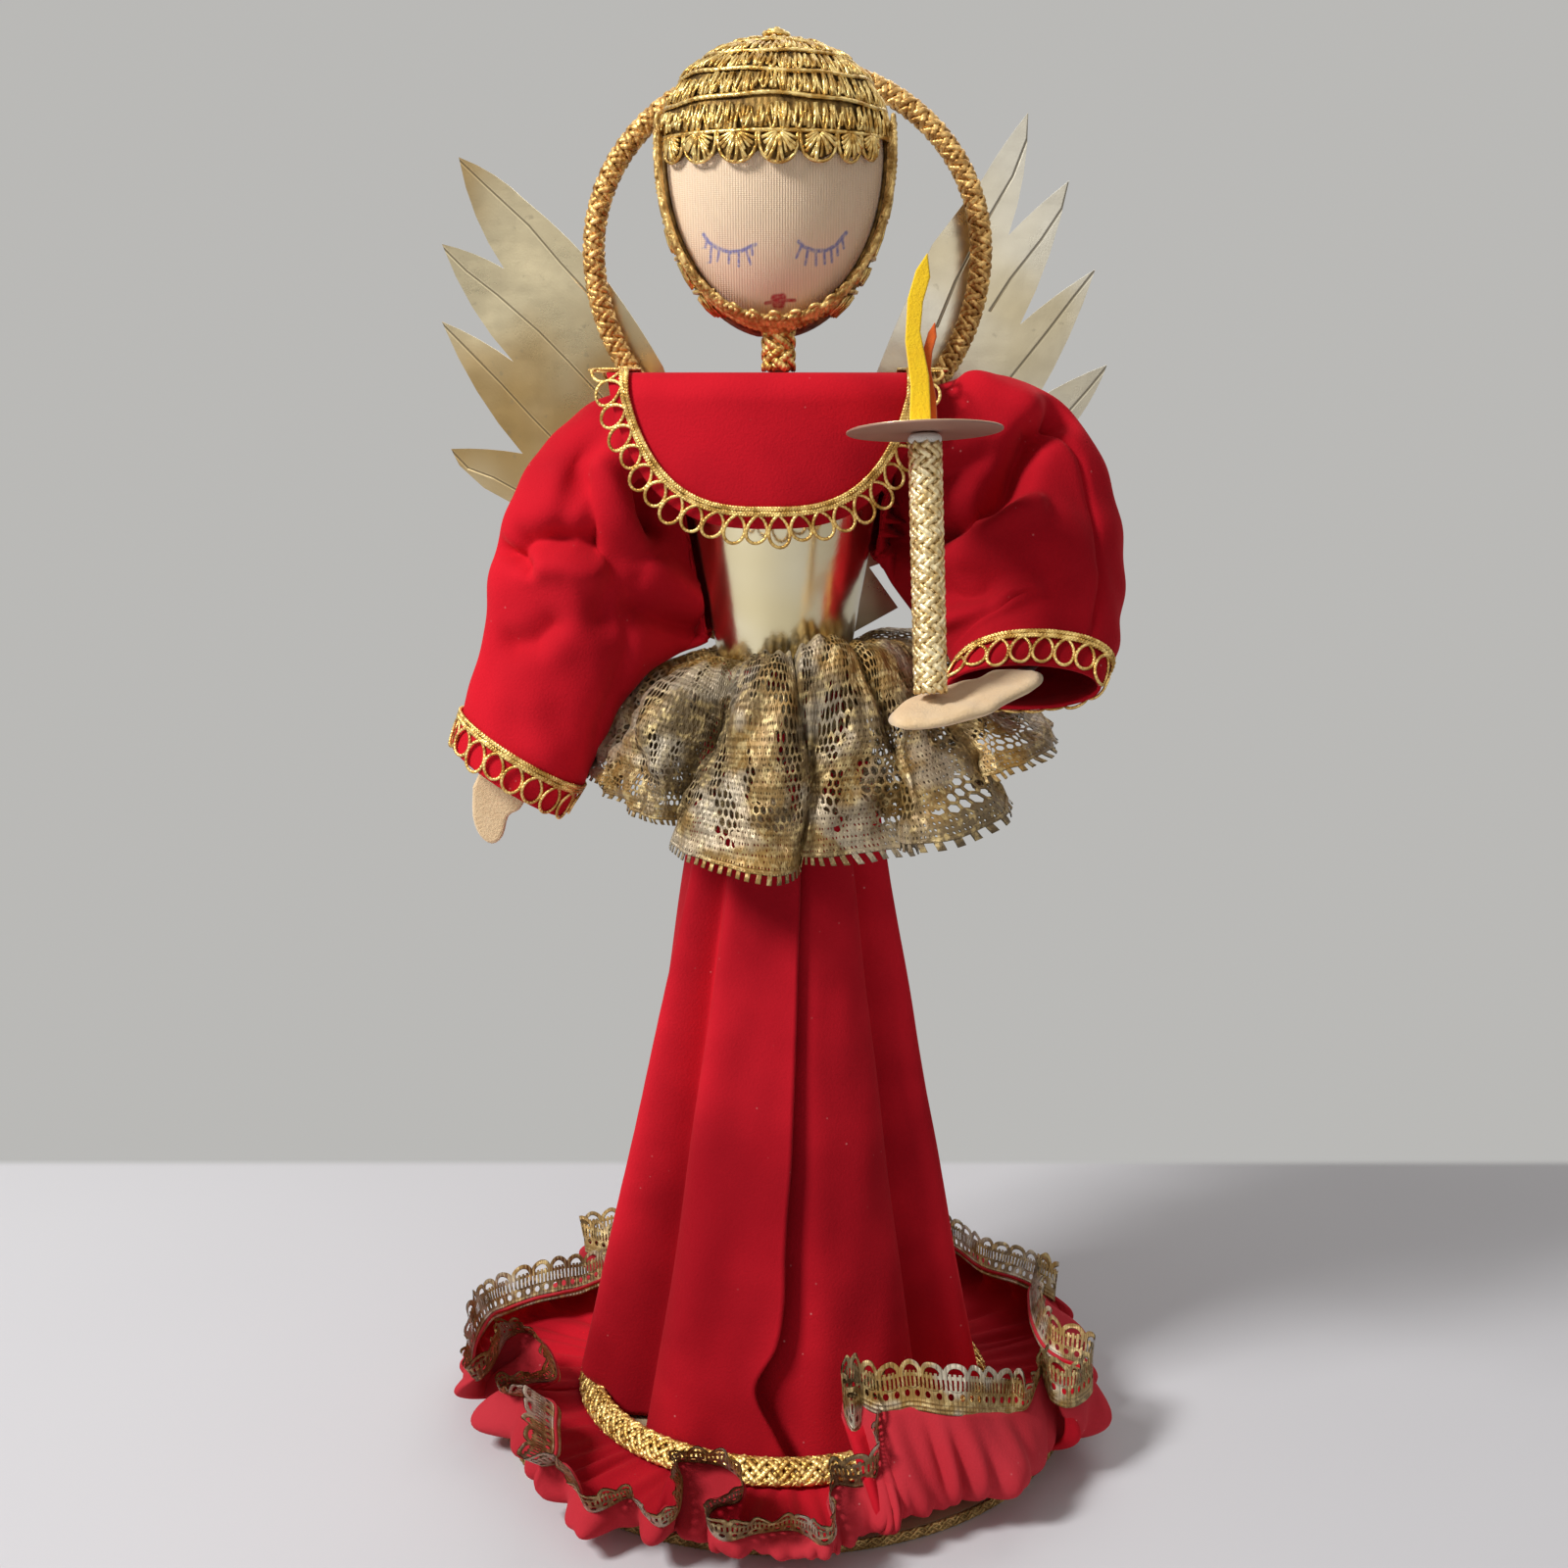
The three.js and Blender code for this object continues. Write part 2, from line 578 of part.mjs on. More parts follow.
const besideBodice = turned([
  [0, waistHeight - overrun], [bodiceRadius(waistHeight - overrun) + seat, waistHeight - overrun],
  [bodiceTopRadius + seat, bodiceTopHeight], [bodiceTopRadius + seat, shoulderHeight + overrun],
  [0, shoulderHeight + overrun],
], 48);
function dressArm(name, sleeve) {
  const surface = sleeveSurface(sleeve);
  place(`${name}_sleeve`, cut(cloth(24, 9, surface, velvet), besideBodice), red);
  const trimShare = cuffTrimWidth / sleeveRun(sleeve);
  const trimFace = (u, v) => surface(u, 1 - trimShare * (1 - v));
  const lift = trimLift + seat;
  const trim = sheet(24, 2, offset(trimFace, lift + braid), offset(trimFace, lift));
  place(`${name}_cuff_trim`, trim, gold);
}
dressArm('right', rightSleeve);
dressArm('left', leftSleeve);

// A round tube along a smooth open line
function tube(line, radius, steps, sides) {
  const section = new THREE.Shape();
  section.absarc(0, 0, radius, 0, 2 * Math.PI);
  const settings = { steps, curveSegments: sides / 2, bevelEnabled: false, extrudePath: line };
  return closed(new THREE.ExtrudeGeometry(section, settings));
}

// Wire through the shoulders, lying on the bodice's top disc, and the wires of the two arms
const wireHeight = bodiceTopHeight + seat + wireRadius;
const bendPlace = bodiceTopRadius + bendGap;
place('shoulder_wire', tube(new THREE.LineCurve3(
  vector(-bendPlace + bendGap, 0, wireHeight), vector(bendPlace - bendGap, 0, wireHeight),
), wireRadius, 1, 8), steel);
function armWire(sleeve, wrist) {
  const start = vector(sleeve.side * (bendPlace + bendGap), 0, wireHeight);
  const along = [0.16, 0.3, 0.45, 0.6, 0.75, 0.88].map((t) =>
    middle(sleeve, t).lerp(seam(sleeve, 'outer', t), sleeve.wireShare * (1 - t)));
  const line = new THREE.CatmullRomCurve3([start, ...along, wrist], false, 'centripetal');
  return tube(line, wireRadius, 14, 8);
}

// Right hand: a felt mitten hanging from the cuff
const mittenShares = [
  [0.32, 1], [0, 0.62], [-0.02, 0.3], [0.1, 0.09], [0.32, 0], [0.52, 0.08], [0.64, 0.3],
  [0.86, 0.38], [0.98, 0.54], [0.86, 0.7], [0.8, 1],
];
const rightWrist = middle(rightSleeve, 0.9);
const rightHandFoot = seam(rightSleeve, 'inner', 1).z - handLength * 0.32;
const rightHandSide = middle(rightSleeve, 1).x - handWidth * 0.66;
const rightHandPoint = ([across, up]) =>
  new THREE.Vector2(rightHandSide + across * handWidth, rightHandFoot + up * handLength);
const rightHandCurve = new THREE.SplineCurve(mittenShares.slice(1, -1).map(rightHandPoint));
const rightHandOutline = [
  rightHandPoint(mittenShares[0]), ...rightHandCurve.getPoints(24), rightHandPoint(mittenShares.at(-1)),
].map((point) => point.toArray());
place('right_hand', plate(rightHandOutline, 2 * feltSheet, rightWrist.y), cream);
const rightWireEnd = vector(rightHandSide + handWidth * 0.56, rightWrist.y,
  rightHandFoot + handLength + seat + wireRadius);
place('right_arm_wire', armWire(rightSleeve, rightWireEnd), steel);

// Left hand: a felt mitten lying palm up, with the candle standing on it
const palm = new THREE.Group();
const palmAlong = vector(...palmPoint).normalize();
const palmLift = vector(...palmFacing);
const palmUp = palmLift.addScaledVector(palmAlong, -palmLift.dot(palmAlong)).normalize();
const palmAcross = palmUp.clone().cross(palmAlong);
palm.matrix.makeBasis(palmAlong, palmAcross, palmUp).setPosition(vector(...palmCentre));
palm.matrix.decompose(palm.position, palm.quaternion, palm.scale);
angel.add(palm);
const palmShares = [
  [-0.62, 0.36], [-0.62, -0.36], [-0.2, -0.46], [0.1, -0.5], [0.3, -0.42], [0.38, -0.1], [0.36, 0.2],
  [0.2, 0.42], [0.06, 0.46], [-0.02, 0.74], [-0.14, 0.8], [-0.22, 0.62], [-0.26, 0.46],
];
const palmShape = new THREE.Shape(palmShares.map(([along, across]) =>
  new THREE.Vector2(along * palmLength, across * palmWidth)));
const palmSolid = new THREE.ExtrudeGeometry(palmShape, { depth: 2 * feltSheet, bevelEnabled: false });
place('left_hand', closed(palmSolid.translate(0, 0, -feltSheet)), cream, palm);
const palmHeelShare = 0.62;
const palmHeel = vector(...palmCentre)
  .addScaledVector(palmAlong, -palmLength * palmHeelShare - seat - wireRadius);
place('left_arm_wire', armWire(leftSleeve, palmHeel), steel);

// Candle: wadding core in a gold braid sleeve, a card drip pan and two felt flames
const candle = new THREE.Group();
candle.position.copy(vector(...palmCentre).add(vector(0, 0, 2 * feltSheet)));
candle.rotation.set(-candleLean, -candleTilt, 0);
angel.add(candle);
const candleFoot = candleRadius * Math.tan(0.35);
const coreTop = candleFoot + candleLength + candleBare;
place('candle_core', rod(candleBore - seat, candleFoot, coreTop, 16), foam, candle);
const candleTop = candleFoot + candleLength;
place('candle_braid', ring(candleBore, candleRadius, candleFoot, candleTop, 20), brightGold, candle);
const panLow = coreTop + seat;
place('drip_pan', rod(panRadius, panLow, panLow + panThickness, 40), foil, candle);
const flameFoot = panLow + panThickness + seat;
const flameShares = [[-0.5, 0], [0.5, 0], [0.45, 0.3], [0.1, 0.55], [0.25, 0.72], [0.6, 0.86], [0.5, 1],
  [-0.05, 0.9], [-0.45, 0.74], [-0.6, 0.5], [-0.4, 0.25]];
const flameAt = (width, height, shift) => flameShares.map(([across, up]) =>
  [shift + across * width, flameFoot + up * height]);
const flame = flameAt(flameWidth, flameHeight, -flameWidth * 0.2);
place('flame_yellow', plate(flame, feltSheet), yellow, candle);
const ember = flameAt(flameWidth * 0.6, emberHeight, flameWidth * 0.3);
place('flame_orange', plate(ember, feltSheet, feltSheet + seat), orange, candle);

// Head: an egg of foam, its height measured from the widest place
function egg(shrink) {
  const steps = 7;
  const profile = [];
  for (let i = -steps; i <= steps; i++) {
    const turn = i / steps * Math.PI / 2;
    const wide = headHalfWidth - shrink;
    const drop = (chinDrop - shrink) * Math.sin(turn);
    const rise = (crownRise - shrink) * Math.max(Math.sin(turn), 0) ** 0.9;
    if (i < 0) profile.push([wide * Math.cos(turn), headHeight + drop]);
    else profile.push([wide * Math.cos(turn) ** 0.86, headHeight + rise]);
  }
  profile[0][0] = 0;
  profile[2 * steps][0] = 0;
  return turned(profile, 24, headX, headY);
}
const coverShrink = hairThickness + seat;
const coreShrink = coverShrink + coverThickness + seat;
const stickBore = rod(neckStickRadius + seat, neckStickFoot, neckStickTop + seat, 16, ...neckPlace);
place('head_core', cut(egg(coreShrink), stickBore), foam);
const chinHole = rod(neckBraidRadius + seat, neckStickFoot, headHeight - chinDrop / 2, 20, ...neckPlace);
place('face_cover', cut(egg(coverShrink), egg(coreShrink - seat), chinHole), flesh);

// The space in front of the head, up to a height. It starts at a plane that leans forwards, given by
// how far ahead of the head's middle it is at the face's top and at the chin.
const faceDepth = 2 * headHalfWidth;
function faceSpace([atTop, atChin], margin, top) {
  const foot = headHeight - chinDrop - overrun;
  const front = faceDepth - headY;
  const planeAt = (height) => margin - headY
    + lerp(atTop, atChin, (faceTop - height) / (faceTop - faceBottom));
  const outline = [[planeAt(foot), foot], [front, foot], [front, top], [planeAt(top), top]];
  return plate(outline, 2 * faceDepth).rotateZ(-Math.PI / 2);
}
const hairShell = (proud) => cut(egg(-proud), egg(coverShrink - seat), chinHole);
place('hair_cap', cut(hairShell(0), faceSpace(hairEdgeAhead, 0, faceTop)), gold);
const fringeLow = faceTop - seat - fringeWidth;
place('hair_fringe', cut(common(hairShell(0), faceSpace(hairEdgeAhead, seat, faceTop - seat)),
  faceSpace(hairEdgeAhead, 0, fringeLow)), gold);
place('face_braid', cut(common(hairShell(faceBraidProud), faceSpace(hairEdgeAhead, seat, fringeLow - seat)),
  faceSpace(faceBraidAhead, 0, fringeLow)), gold);

const knotFoot = headHeight + crownRise + seat;
const knotMiddle = knotFoot + knotHeight / 2;
place('hair_knot', closed(new THREE.SphereGeometry(1, 12, 8)
  .scale(knotRadius, knotHeight / 2, knotRadius).rotateX(Math.PI / 2)
  .translate(headX, headY, knotMiddle)), gold);

// Neck: a stick that turns in the shoulders, in a sleeve of gold braid under the chin
place('neck_stick', rod(neckStickRadius, neckStickFoot, neckStickTop, 16, ...neckPlace), board);
const neckFoot = shoulderHeight + seat;
const neckSleeve = ring(neckStickRadius + seat, neckBraidRadius, neckFoot, headHeight, 20, ...neckPlace);
place('neck_braid', cut(neckSleeve, egg(coreShrink - seat)), gold);

// Halo: a hoop of braid-covered cord whose ends meet behind the bodice
const haloFoot = haloMiddle - haloDrop;
const haloDepth = yokeDepth - bodiceFlare * (bodiceTopHeight - haloFoot) + velvet / 2 + seat + haloRadius;
class HaloLine extends THREE.Curve {
  getPoint(t, target = new THREE.Vector3()) {
    const gap = haloEndGap / (2 * haloHalfWidth);
    const turn = -Math.PI / 2 - lerp(gap, 2 * Math.PI - gap, t);
    const up = Math.sin(turn) * (Math.sin(turn) > 0 ? haloRise : haloDrop);
    const height = haloMiddle + up;
    return target.set(haloX + haloHalfWidth * Math.cos(turn),
      haloDepth + haloLean * (height - haloFoot), height);
  }
}
place('halo', tube(new HaloLine(), haloRadius, 46, 8), gold);

// Wings: cut freely from foil card, each outline in shares of the wing's length. A point's third
// value is how far the edge from it to the next point bows outwards.
const wingFootShares = [[0, -0.1], [0.097, -0.09], [0.2, -0.035], [0.142, 0.045], [0.3, 0.1]];
const wingHeadShares = [[0.1, 0.29], [0, 0.11]];
const rightWingShares = [
  ...wingFootShares, [0.45, 0.238], [0.523, 0.295], [0.563, 0.346], [0.573, 0.38, 0.004], [0.431, 0.346, 0.013],
  [0.54, 0.622, 0.005], [0.413, 0.52, 0.014], [0.508, 0.764, 0.005], [0.396, 0.695, 0.013],
  [0.44, 0.913, 0.008], [0.33, 0.812, 0.006], [0.2, 0.63, 0.003], [0.127, 0.459], ...wingHeadShares,
];
const leftWingShares = [
  ...wingFootShares, [0.42, 0.2], [0.554, 0.331, 0.004], [0.609, 0.433, 0.004], [0.466, 0.366, 0.008],
  [0.58, 0.614, 0.004], [0.431, 0.508, 0.011], [0.522, 0.777, 0.003], [0.405, 0.674, 0.011],
  [0.438, 0.899, 0.003], [0.355, 0.781], [0.258, 0.657, 0.003], [0.154, 0.421], ...wingHeadShares,
];
const bowSteps = 4;
function bowedEdge([across, up, bow = 0], i, shares) {
  const [nextAcross, nextUp] = shares[(i + 1) % shares.length];
  const [along, rise] = [nextAcross - across, nextUp - up];
  return Array.from({ length: bow ? bowSteps : 1 }, (_, step) => {
    const t = step / bowSteps;
    const out = 4 * bow * t * (1 - t) / Math.hypot(along, rise);
    return [across + along * t + rise * out, up + rise * t - along * out];
  });
}
const wingDepth = haloDepth + haloRadius + seat - wingContact * Math.sin(wingSweep);
function wing(name, shares, side, turn, nearer = 0) {
  const outline = shares.flatMap(bowedEdge)
    .map(([across, up]) => [side * across * wingLength, up * wingLength]);
  const mesh = place(name, plate(outline, foilCard, foilCard / 2), foil);
  mesh.position.set(side * wingRoot, wingDepth - nearer, wingFoot);
  mesh.rotation.set(0, side * turn, side * wingSweep, 'ZYX');
}
wing('right_wing', rightWingShares, -1, rightWingTurn, rightWingNearer);
wing('left_wing', leftWingShares, 1, leftWingTurn);

export default angel;
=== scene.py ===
"""Looks of a tabletop angel: red velvet, gold foil, plaited gold cord and old gold lace.

Shape functions work in millimetres in the frame of the CAD part; make() turns them into metres.
An angle round the figure is counted from the front towards the angel's left, which is +X.
"""

import bmesh
import bpy
import numpy as np
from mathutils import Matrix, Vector


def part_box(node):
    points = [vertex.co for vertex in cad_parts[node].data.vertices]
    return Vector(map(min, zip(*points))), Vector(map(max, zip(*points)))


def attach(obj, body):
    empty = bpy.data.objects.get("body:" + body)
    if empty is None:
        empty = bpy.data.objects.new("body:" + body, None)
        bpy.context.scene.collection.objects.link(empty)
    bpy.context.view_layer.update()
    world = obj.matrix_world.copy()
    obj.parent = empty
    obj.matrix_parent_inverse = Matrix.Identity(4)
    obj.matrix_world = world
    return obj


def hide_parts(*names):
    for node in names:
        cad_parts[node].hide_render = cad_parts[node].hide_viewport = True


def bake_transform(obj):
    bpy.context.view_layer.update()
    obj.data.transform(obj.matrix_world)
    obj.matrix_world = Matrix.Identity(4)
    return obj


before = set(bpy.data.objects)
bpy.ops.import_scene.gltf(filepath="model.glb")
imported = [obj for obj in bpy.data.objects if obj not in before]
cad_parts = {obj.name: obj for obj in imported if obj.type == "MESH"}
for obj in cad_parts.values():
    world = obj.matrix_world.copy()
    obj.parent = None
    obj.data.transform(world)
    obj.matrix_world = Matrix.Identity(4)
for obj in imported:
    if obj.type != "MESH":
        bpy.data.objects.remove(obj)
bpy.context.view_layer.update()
MM = 0.001
TAU = 2 * np.pi

# Sizes of the figure, as in the CAD part
SEAT = 0.3
WAIST, SHOULDER, HEAD = 229.0, 310.0, 365.0
BODICE_TOP, BODICE_FLARE, WAIST_RADIUS = 303.0, 0.174, 18.6
HEM_INNER = 56.3
HEAD_AT = (-2.4, 3.0)
NECK_AT = (-1.5, -6.0)
CANDLE_AT = np.array([37.5, -62.0, 228.0])
HALO_CORD = 3.15

# How thick the cloths are
VELVET, RUFFLE_VELVET, NET, JERSEY = 1.0, 0.9, 0.3, 0.6


# Arithmetic on arrays of places
def mix(a, b, t):
    return a + (b - a) * t


def ease(t):
    t = np.clip(t, 0, 1)
    return t * t * (3 - 2 * t)


def hump(distance, width):
    return np.exp(-((distance / width) ** 2))


def turn_between(a, b):
    return np.arctan2(np.sin(a - b), np.cos(a - b))


def unit(v):
    return v / np.maximum(np.linalg.norm(v, axis=-1, keepdims=True), 1e-9)


def vec(x, y, z):
    return np.stack(np.broadcast_arrays(x, y, z), -1).astype(float)


def around(radius, azimuth, height):
    return vec(radius * np.sin(azimuth), -radius * np.cos(azimuth), height)


def hermite(before, start, end, after, s):
    """A cubic from start to end whose slopes come from the entries on either side."""
    leave, arrive = (end - before) / 2, (after - start) / 2
    return (start + leave * s + (3 * (end - start) - 2 * leave - arrive) * s**2
            + (2 * (start - end) + leave + arrive) * s**3)


def table(values, t):
    """A smooth value between evenly spaced entries, t from 0 to 1."""
    v = np.array([2 * values[0] - values[1], *values, 2 * values[-1] - values[-2]], float)
    spot = np.clip(t, 0, 1) * (len(values) - 1)
    low = np.minimum(spot.astype(int), len(values) - 2)
    return hermite(v[low], v[low + 1], v[low + 2], v[low + 3], spot - low)


def round_table(values, azimuth):
    """The same round a closed loop, the first entry at the front."""
    v = np.array(values, float)
    count = len(v)
    spot = (azimuth / TAU % 1) * count
    low = spot.astype(int) % count
    return hermite(v[low - 1], v[low], v[(low + 1) % count], v[(low + 2) % count],
                   spot - np.floor(spot))


def closed_curve(rows, spots):
    """Smooth values on a closed loop through rows, at places counted in rows."""
    low, count = np.floor(spots).astype(int), len(rows)
    return hermite(rows[(low - 1) % count], rows[low % count], rows[(low + 1) % count],
                   rows[(low + 2) % count], (spots - low)[:, None])


def from_line(x, z, path):
    """Distance from places to the nearest stretch of a line of (x, z) points."""
    near = np.inf
    for (ax, az), (bx, bz) in zip(path[:-1], path[1:]):
        dx, dz = bx - ax, bz - az
        t = np.clip(((x - ax) * dx + (z - az) * dz) / (dx * dx + dz * dz), 0, 1)
        near = np.minimum(near, np.hypot(x - ax - t * dx, z - az - t * dz))
    return near


def ripple(seed, *places, count=9):
    """Smooth unevenness between about -1 and 1: a sum of sines in seeded directions."""
    rng = np.random.default_rng(seed)
    total = 0
    for _ in range(count):
        waves = rng.normal(size=len(places))
        total = total + np.sin(sum(w * p for w, p in zip(waves, places)) + rng.uniform(0, TAU))
    return total / np.sqrt(count)


def running(line):
    """The length along a line at each of its points."""
    return np.concatenate([[0], np.cumsum(np.linalg.norm(np.diff(line, axis=0), axis=1))])


def cells(u, v, columns, rows):
    """A grid of parameters, one more each way than its cells."""
    return np.meshgrid(np.linspace(*u, columns + 1), np.linspace(*v, rows + 1))


# Shader nodes
class Value:
    """A shader socket that can be used in sums."""

    def __init__(self, nodes, socket):
        self.nodes, self.socket = nodes, socket

    def sum(self, operation, *others, clamp=False):
        return self.nodes.add("Math", {"operation": operation, "use_clamp": clamp},
                              dict(enumerate((self, *others))))

    def __add__(self, other):
        return self.sum("ADD", other)

    def __sub__(self, other):
        return self.sum("SUBTRACT", other)

    def __mul__(self, other):
        return self.sum("MULTIPLY", other)

    def __truediv__(self, other):
        return self.sum("DIVIDE", other)

    def __rsub__(self, other):
        return self * -1 + other

    __radd__, __rmul__ = __add__, __mul__

    def sin(self):
        return self.sum("SINE")

    def abs(self):
        return self.sum("ABSOLUTE")

    def root(self):
        return self.sum("SQRT")

    def low(self, other):
        return self.sum("MINIMUM", other)

    def high(self, other):
        return self.sum("MAXIMUM", other)

    def over(self, size):
        """Remainder within a repeat, from minus half to half of it."""
        return (self + size / 2).sum("FLOORED_MODULO", size) - size / 2

    def step(self, start, end):
        """0 at start and 1 at end, eased between, and flat beyond. start may be the greater."""
        ends = {"From Min": min(start, end), "From Max": max(start, end),
                "To Min": float(start > end), "To Max": float(start < end)}
        return self.nodes.add("MapRange", {"interpolation_type": "SMOOTHSTEP"},
                              {"Value": self, **ends})

    def parts(self):
        made = self.nodes.add("SeparateXYZ", None, {0: self})
        return [Value(self.nodes, out) for out in made.socket.node.outputs]


class Nodes:
    """Makes nodes in one tree."""

    def __init__(self, tree):
        self.tree = tree

    def add(self, kind, settings=None, sockets=None, out=0):
        """A node of a kind with its settings, and then the values or links of its sockets."""
        made = self.tree.nodes.new("ShaderNode" + kind)
        for key, value in (settings or {}).items():
            setattr(made, key, value)
        for key, value in (sockets or {}).items():
            self.put(made.inputs[key], value)
        return Value(self, made.outputs[out])

    def put(self, socket, value):
        if isinstance(value, Value):
            self.tree.links.new(value.socket, socket)
        else:
            socket.default_value = value

    def blend(self, factor, first, second):
        """A colour between two colours."""
        ends = [(*c, 1.0) if isinstance(c, tuple) else c for c in (first, second)]
        return self.add("Mix", {"data_type": "RGBA"}, {0: factor, 6: ends[0], 7: ends[1]}, out=2)


class Look(Nodes):
    """A material made of shader nodes round one Principled BSDF."""

    def __init__(self, name, **constants):
        self.material = bpy.data.materials.new(name)
        self.material.use_nodes = True
        super().__init__(self.material.node_tree)
        self.shader = self.tree.nodes["Principled BSDF"]
        for socket, value in constants.items():
            self.shader.inputs[socket.replace("_", " ")].default_value = value
        self.place = self.add("TexCoord", out="Object")
        self.flat = self.add("UVMap")

    def noise(self, scale, detail=2.0, where=None, rough=0.5):
        return self.add("TexNoise", None, {"Vector": where or self.place, "Scale": scale,
                                           "Detail": detail, "Roughness": rough})

    def feed(self, **links):
        """Links values to the shader's sockets, and gives the material."""
        for socket, value in links.items():
            self.put(self.shader.inputs[socket.replace("_", " ")], value)
        return self.material

    def relief(self, height, distance, strength=1.0, under=None):
        sockets = {"Height": height, "Distance": distance, "Strength": strength}
        if under:
            sockets["Normal"] = under
        return self.add("Bump", None, sockets)


def velvet(name, deep, bright, outside=None):
    """Short pile: patches where the pile lies another way, fine grain, and specks of lint. The
    outside colour goes on the side whose place in the cloth isn't shifted by FAR_SIDE."""
    look = Look(name, Sheen_Weight=0.22, Sheen_Roughness=0.4, Sheen_Tint=(1.0, 0.12, 0.12, 1.0),
                Specular_IOR_Level=0.12)
    tone = look.blend(look.noise(16, 3).step(0.35, 0.68), deep, bright)
    if outside:
        _, side, _ = look.flat.parts()
        worn = look.noise(22, 3).step(0.3, 0.7) * 0.5 + 0.5
        tone = look.blend(side.step(FAR_SIDE * 0.6, FAR_SIDE * 0.5) * worn, tone, outside)
    speck = look.add("TexVoronoi", None, {"Vector": look.place, "Scale": 210.0}, out="Distance")
    sparse = look.noise(34, 1).step(0.5, 0.66)
    tone = look.blend(speck.step(0.085, 0.03) * sparse * 0.5, tone, (0.75, 0.35, 0.33))
    pile = look.relief(look.noise(1500, 2), 0.00025, 0.5)
    return look.feed(Base_Color=tone, Roughness=mix(0.8, 0.95, look.noise(60)),
                     Normal=look.relief(look.noise(45, 2), 0.0006, 0.35, pile))


def foil(name, pale, warm, veins=(), rough=(0.18, 0.36)):
    """Gold foil on card: soft creases, fine grain, rubbed patches, and scored lines."""
    look = Look(name, Metallic=1.0, Coat_Weight=0.15, Coat_Roughness=0.3)
    tone = look.blend(look.noise(22, 2).step(0.35, 0.7), pale, warm)
    grain = look.noise(1800, 2)
    height = look.noise(32, 3) * 3.0 + grain * 0.08
    if veins:
        across, up, _ = look.flat.parts()
        lines = [segment(across, up, a, b) for a, b in veins]
        nearest = lines[0]
        for line in lines[1:]:
            nearest = nearest.low(line)
        # The scored lines are pressed in by the bump and also painted dark: painted shade in their
        # grooves.
        groove = nearest.step(0.00055, 0.0001)
        tone = look.blend(groove * 0.75, tone, (0.12, 0.09, 0.05))
        height = height - groove * 0.9
    tone = look.blend(look.noise(260, 4).step(0.66, 0.74) * 0.35, tone, (0.35, 0.3, 0.2))
    return look.feed(Base_Color=tone, Roughness=mix(*rough, look.noise(55, 3)) + grain * 0.06,
                     Normal=look.relief(height, 0.0005, 0.55))


def segment(x, y, a, b):
    """Distance from a place to the line between a and b, all in metres."""
    (ax, ay), (bx, by) = a, b
    dx, dy = bx - ax, by - ay
    along = (((x - ax) * dx + (y - ay) * dy) / (dx * dx + dy * dy)).sum("ADD", 0.0, clamp=True)
    p, q = x - ax - along * dx, y - ay - along * dy
    return (p * p + q * q).root()


def thread(name, dark, light, rough=0.34, twist=900.0, metallic=0.8):
    """Metallic yarn: glinting and dull lengths, with the yarn's own twist."""
    look = Look(name, Metallic=metallic)
    along, turn, _ = look.flat.parts()
    tone = look.blend(look.noise(320, 3).step(0.36, 0.66), dark, light)
    strands = (along * (TAU * twist) + turn * TAU).sin()
    height = strands * 0.5 + look.noise(2600, 1)
    return look.feed(Base_Color=tone, Roughness=mix(rough, rough + 0.22, look.noise(700, 2)),
                     Normal=look.relief(height, 0.00012, 0.8))


def hexagons(x, y, size):
    """Distance in from the nearest side of a net of hexagons, as a share of half their width."""
    tall = size * 3**0.5
    ax, ay = x.over(size).abs(), y.over(tall).abs()
    bx, by = (x - size / 2).over(size).abs(), (y - tall / 2).over(tall).abs()
    near = (ax * ax + ay * ay).sum("LESS_THAN", bx * bx + by * by)
    gx, gy = mix(bx, ax, near), mix(by, ay, near)
    return 1 - gx.high(gx * 0.5 + gy * 0.75**0.5) / (size / 2)


def lace_finish(look, solid, height, grey=0.5):
    """Old gold yarn for lace: solid is where there is yarn, height its relief."""
    tone = look.blend(look.noise(45, 2).step(0.35, 0.65), (0.3, 0.17, 0.04), (0.16, 0.11, 0.05))
    # Lighter gold flecks: painted glints on the yarn.
    tone = look.blend(look.noise(420, 3).step(0.48, 0.68), tone, (0.5, 0.37, 0.16))
    tone = look.blend(look.noise(60, 3).step(0.5, 0.62) * grey, tone, (0.5, 0.44, 0.34))
    return look.feed(Base_Color=tone, Roughness=mix(0.36, 0.6, look.noise(300)),
                     Normal=look.relief(height, 0.0005), Alpha=solid.step(0.35, 0.65))


def net_lace(name, width):
    """Net of hexagons with dense sprigs, a corded border and a row of small loops at the hem."""
    look = Look(name, Metallic=0.35)
    x, y, _ = look.flat.parts()
    wobble = look.noise(120, 1, look.flat) * 0.0018
    net = hexagons(x + wobble, y + wobble, 0.0023)
    dense = hexagons(x * 1.5, y, 0.0013).step(0.72, 0.5)
    patch = look.noise(85, 2, look.flat).step(0.47, 0.5)
    border = (y - (width - 0.0042)).abs().step(0.0021, 0.0016)
    cord = (y - (width - 0.0021)).abs().step(0.0006, 0.0003)
    teeth = x.over(0.0027).abs().step(0.00072, 0.0005) * y.step(width - 0.0022, width - 0.0018)
    hem = y.step(width - 0.0016, width - 0.0022)
    solid = (net.step(0.34, 0.22).high(dense * patch.high(border)) * hem).high(cord).high(teeth)
    height = (1 - net) * 0.4 + dense * 0.3 + cord * 0.5 + teeth * 0.4
    return lace_finish(look, solid, height)


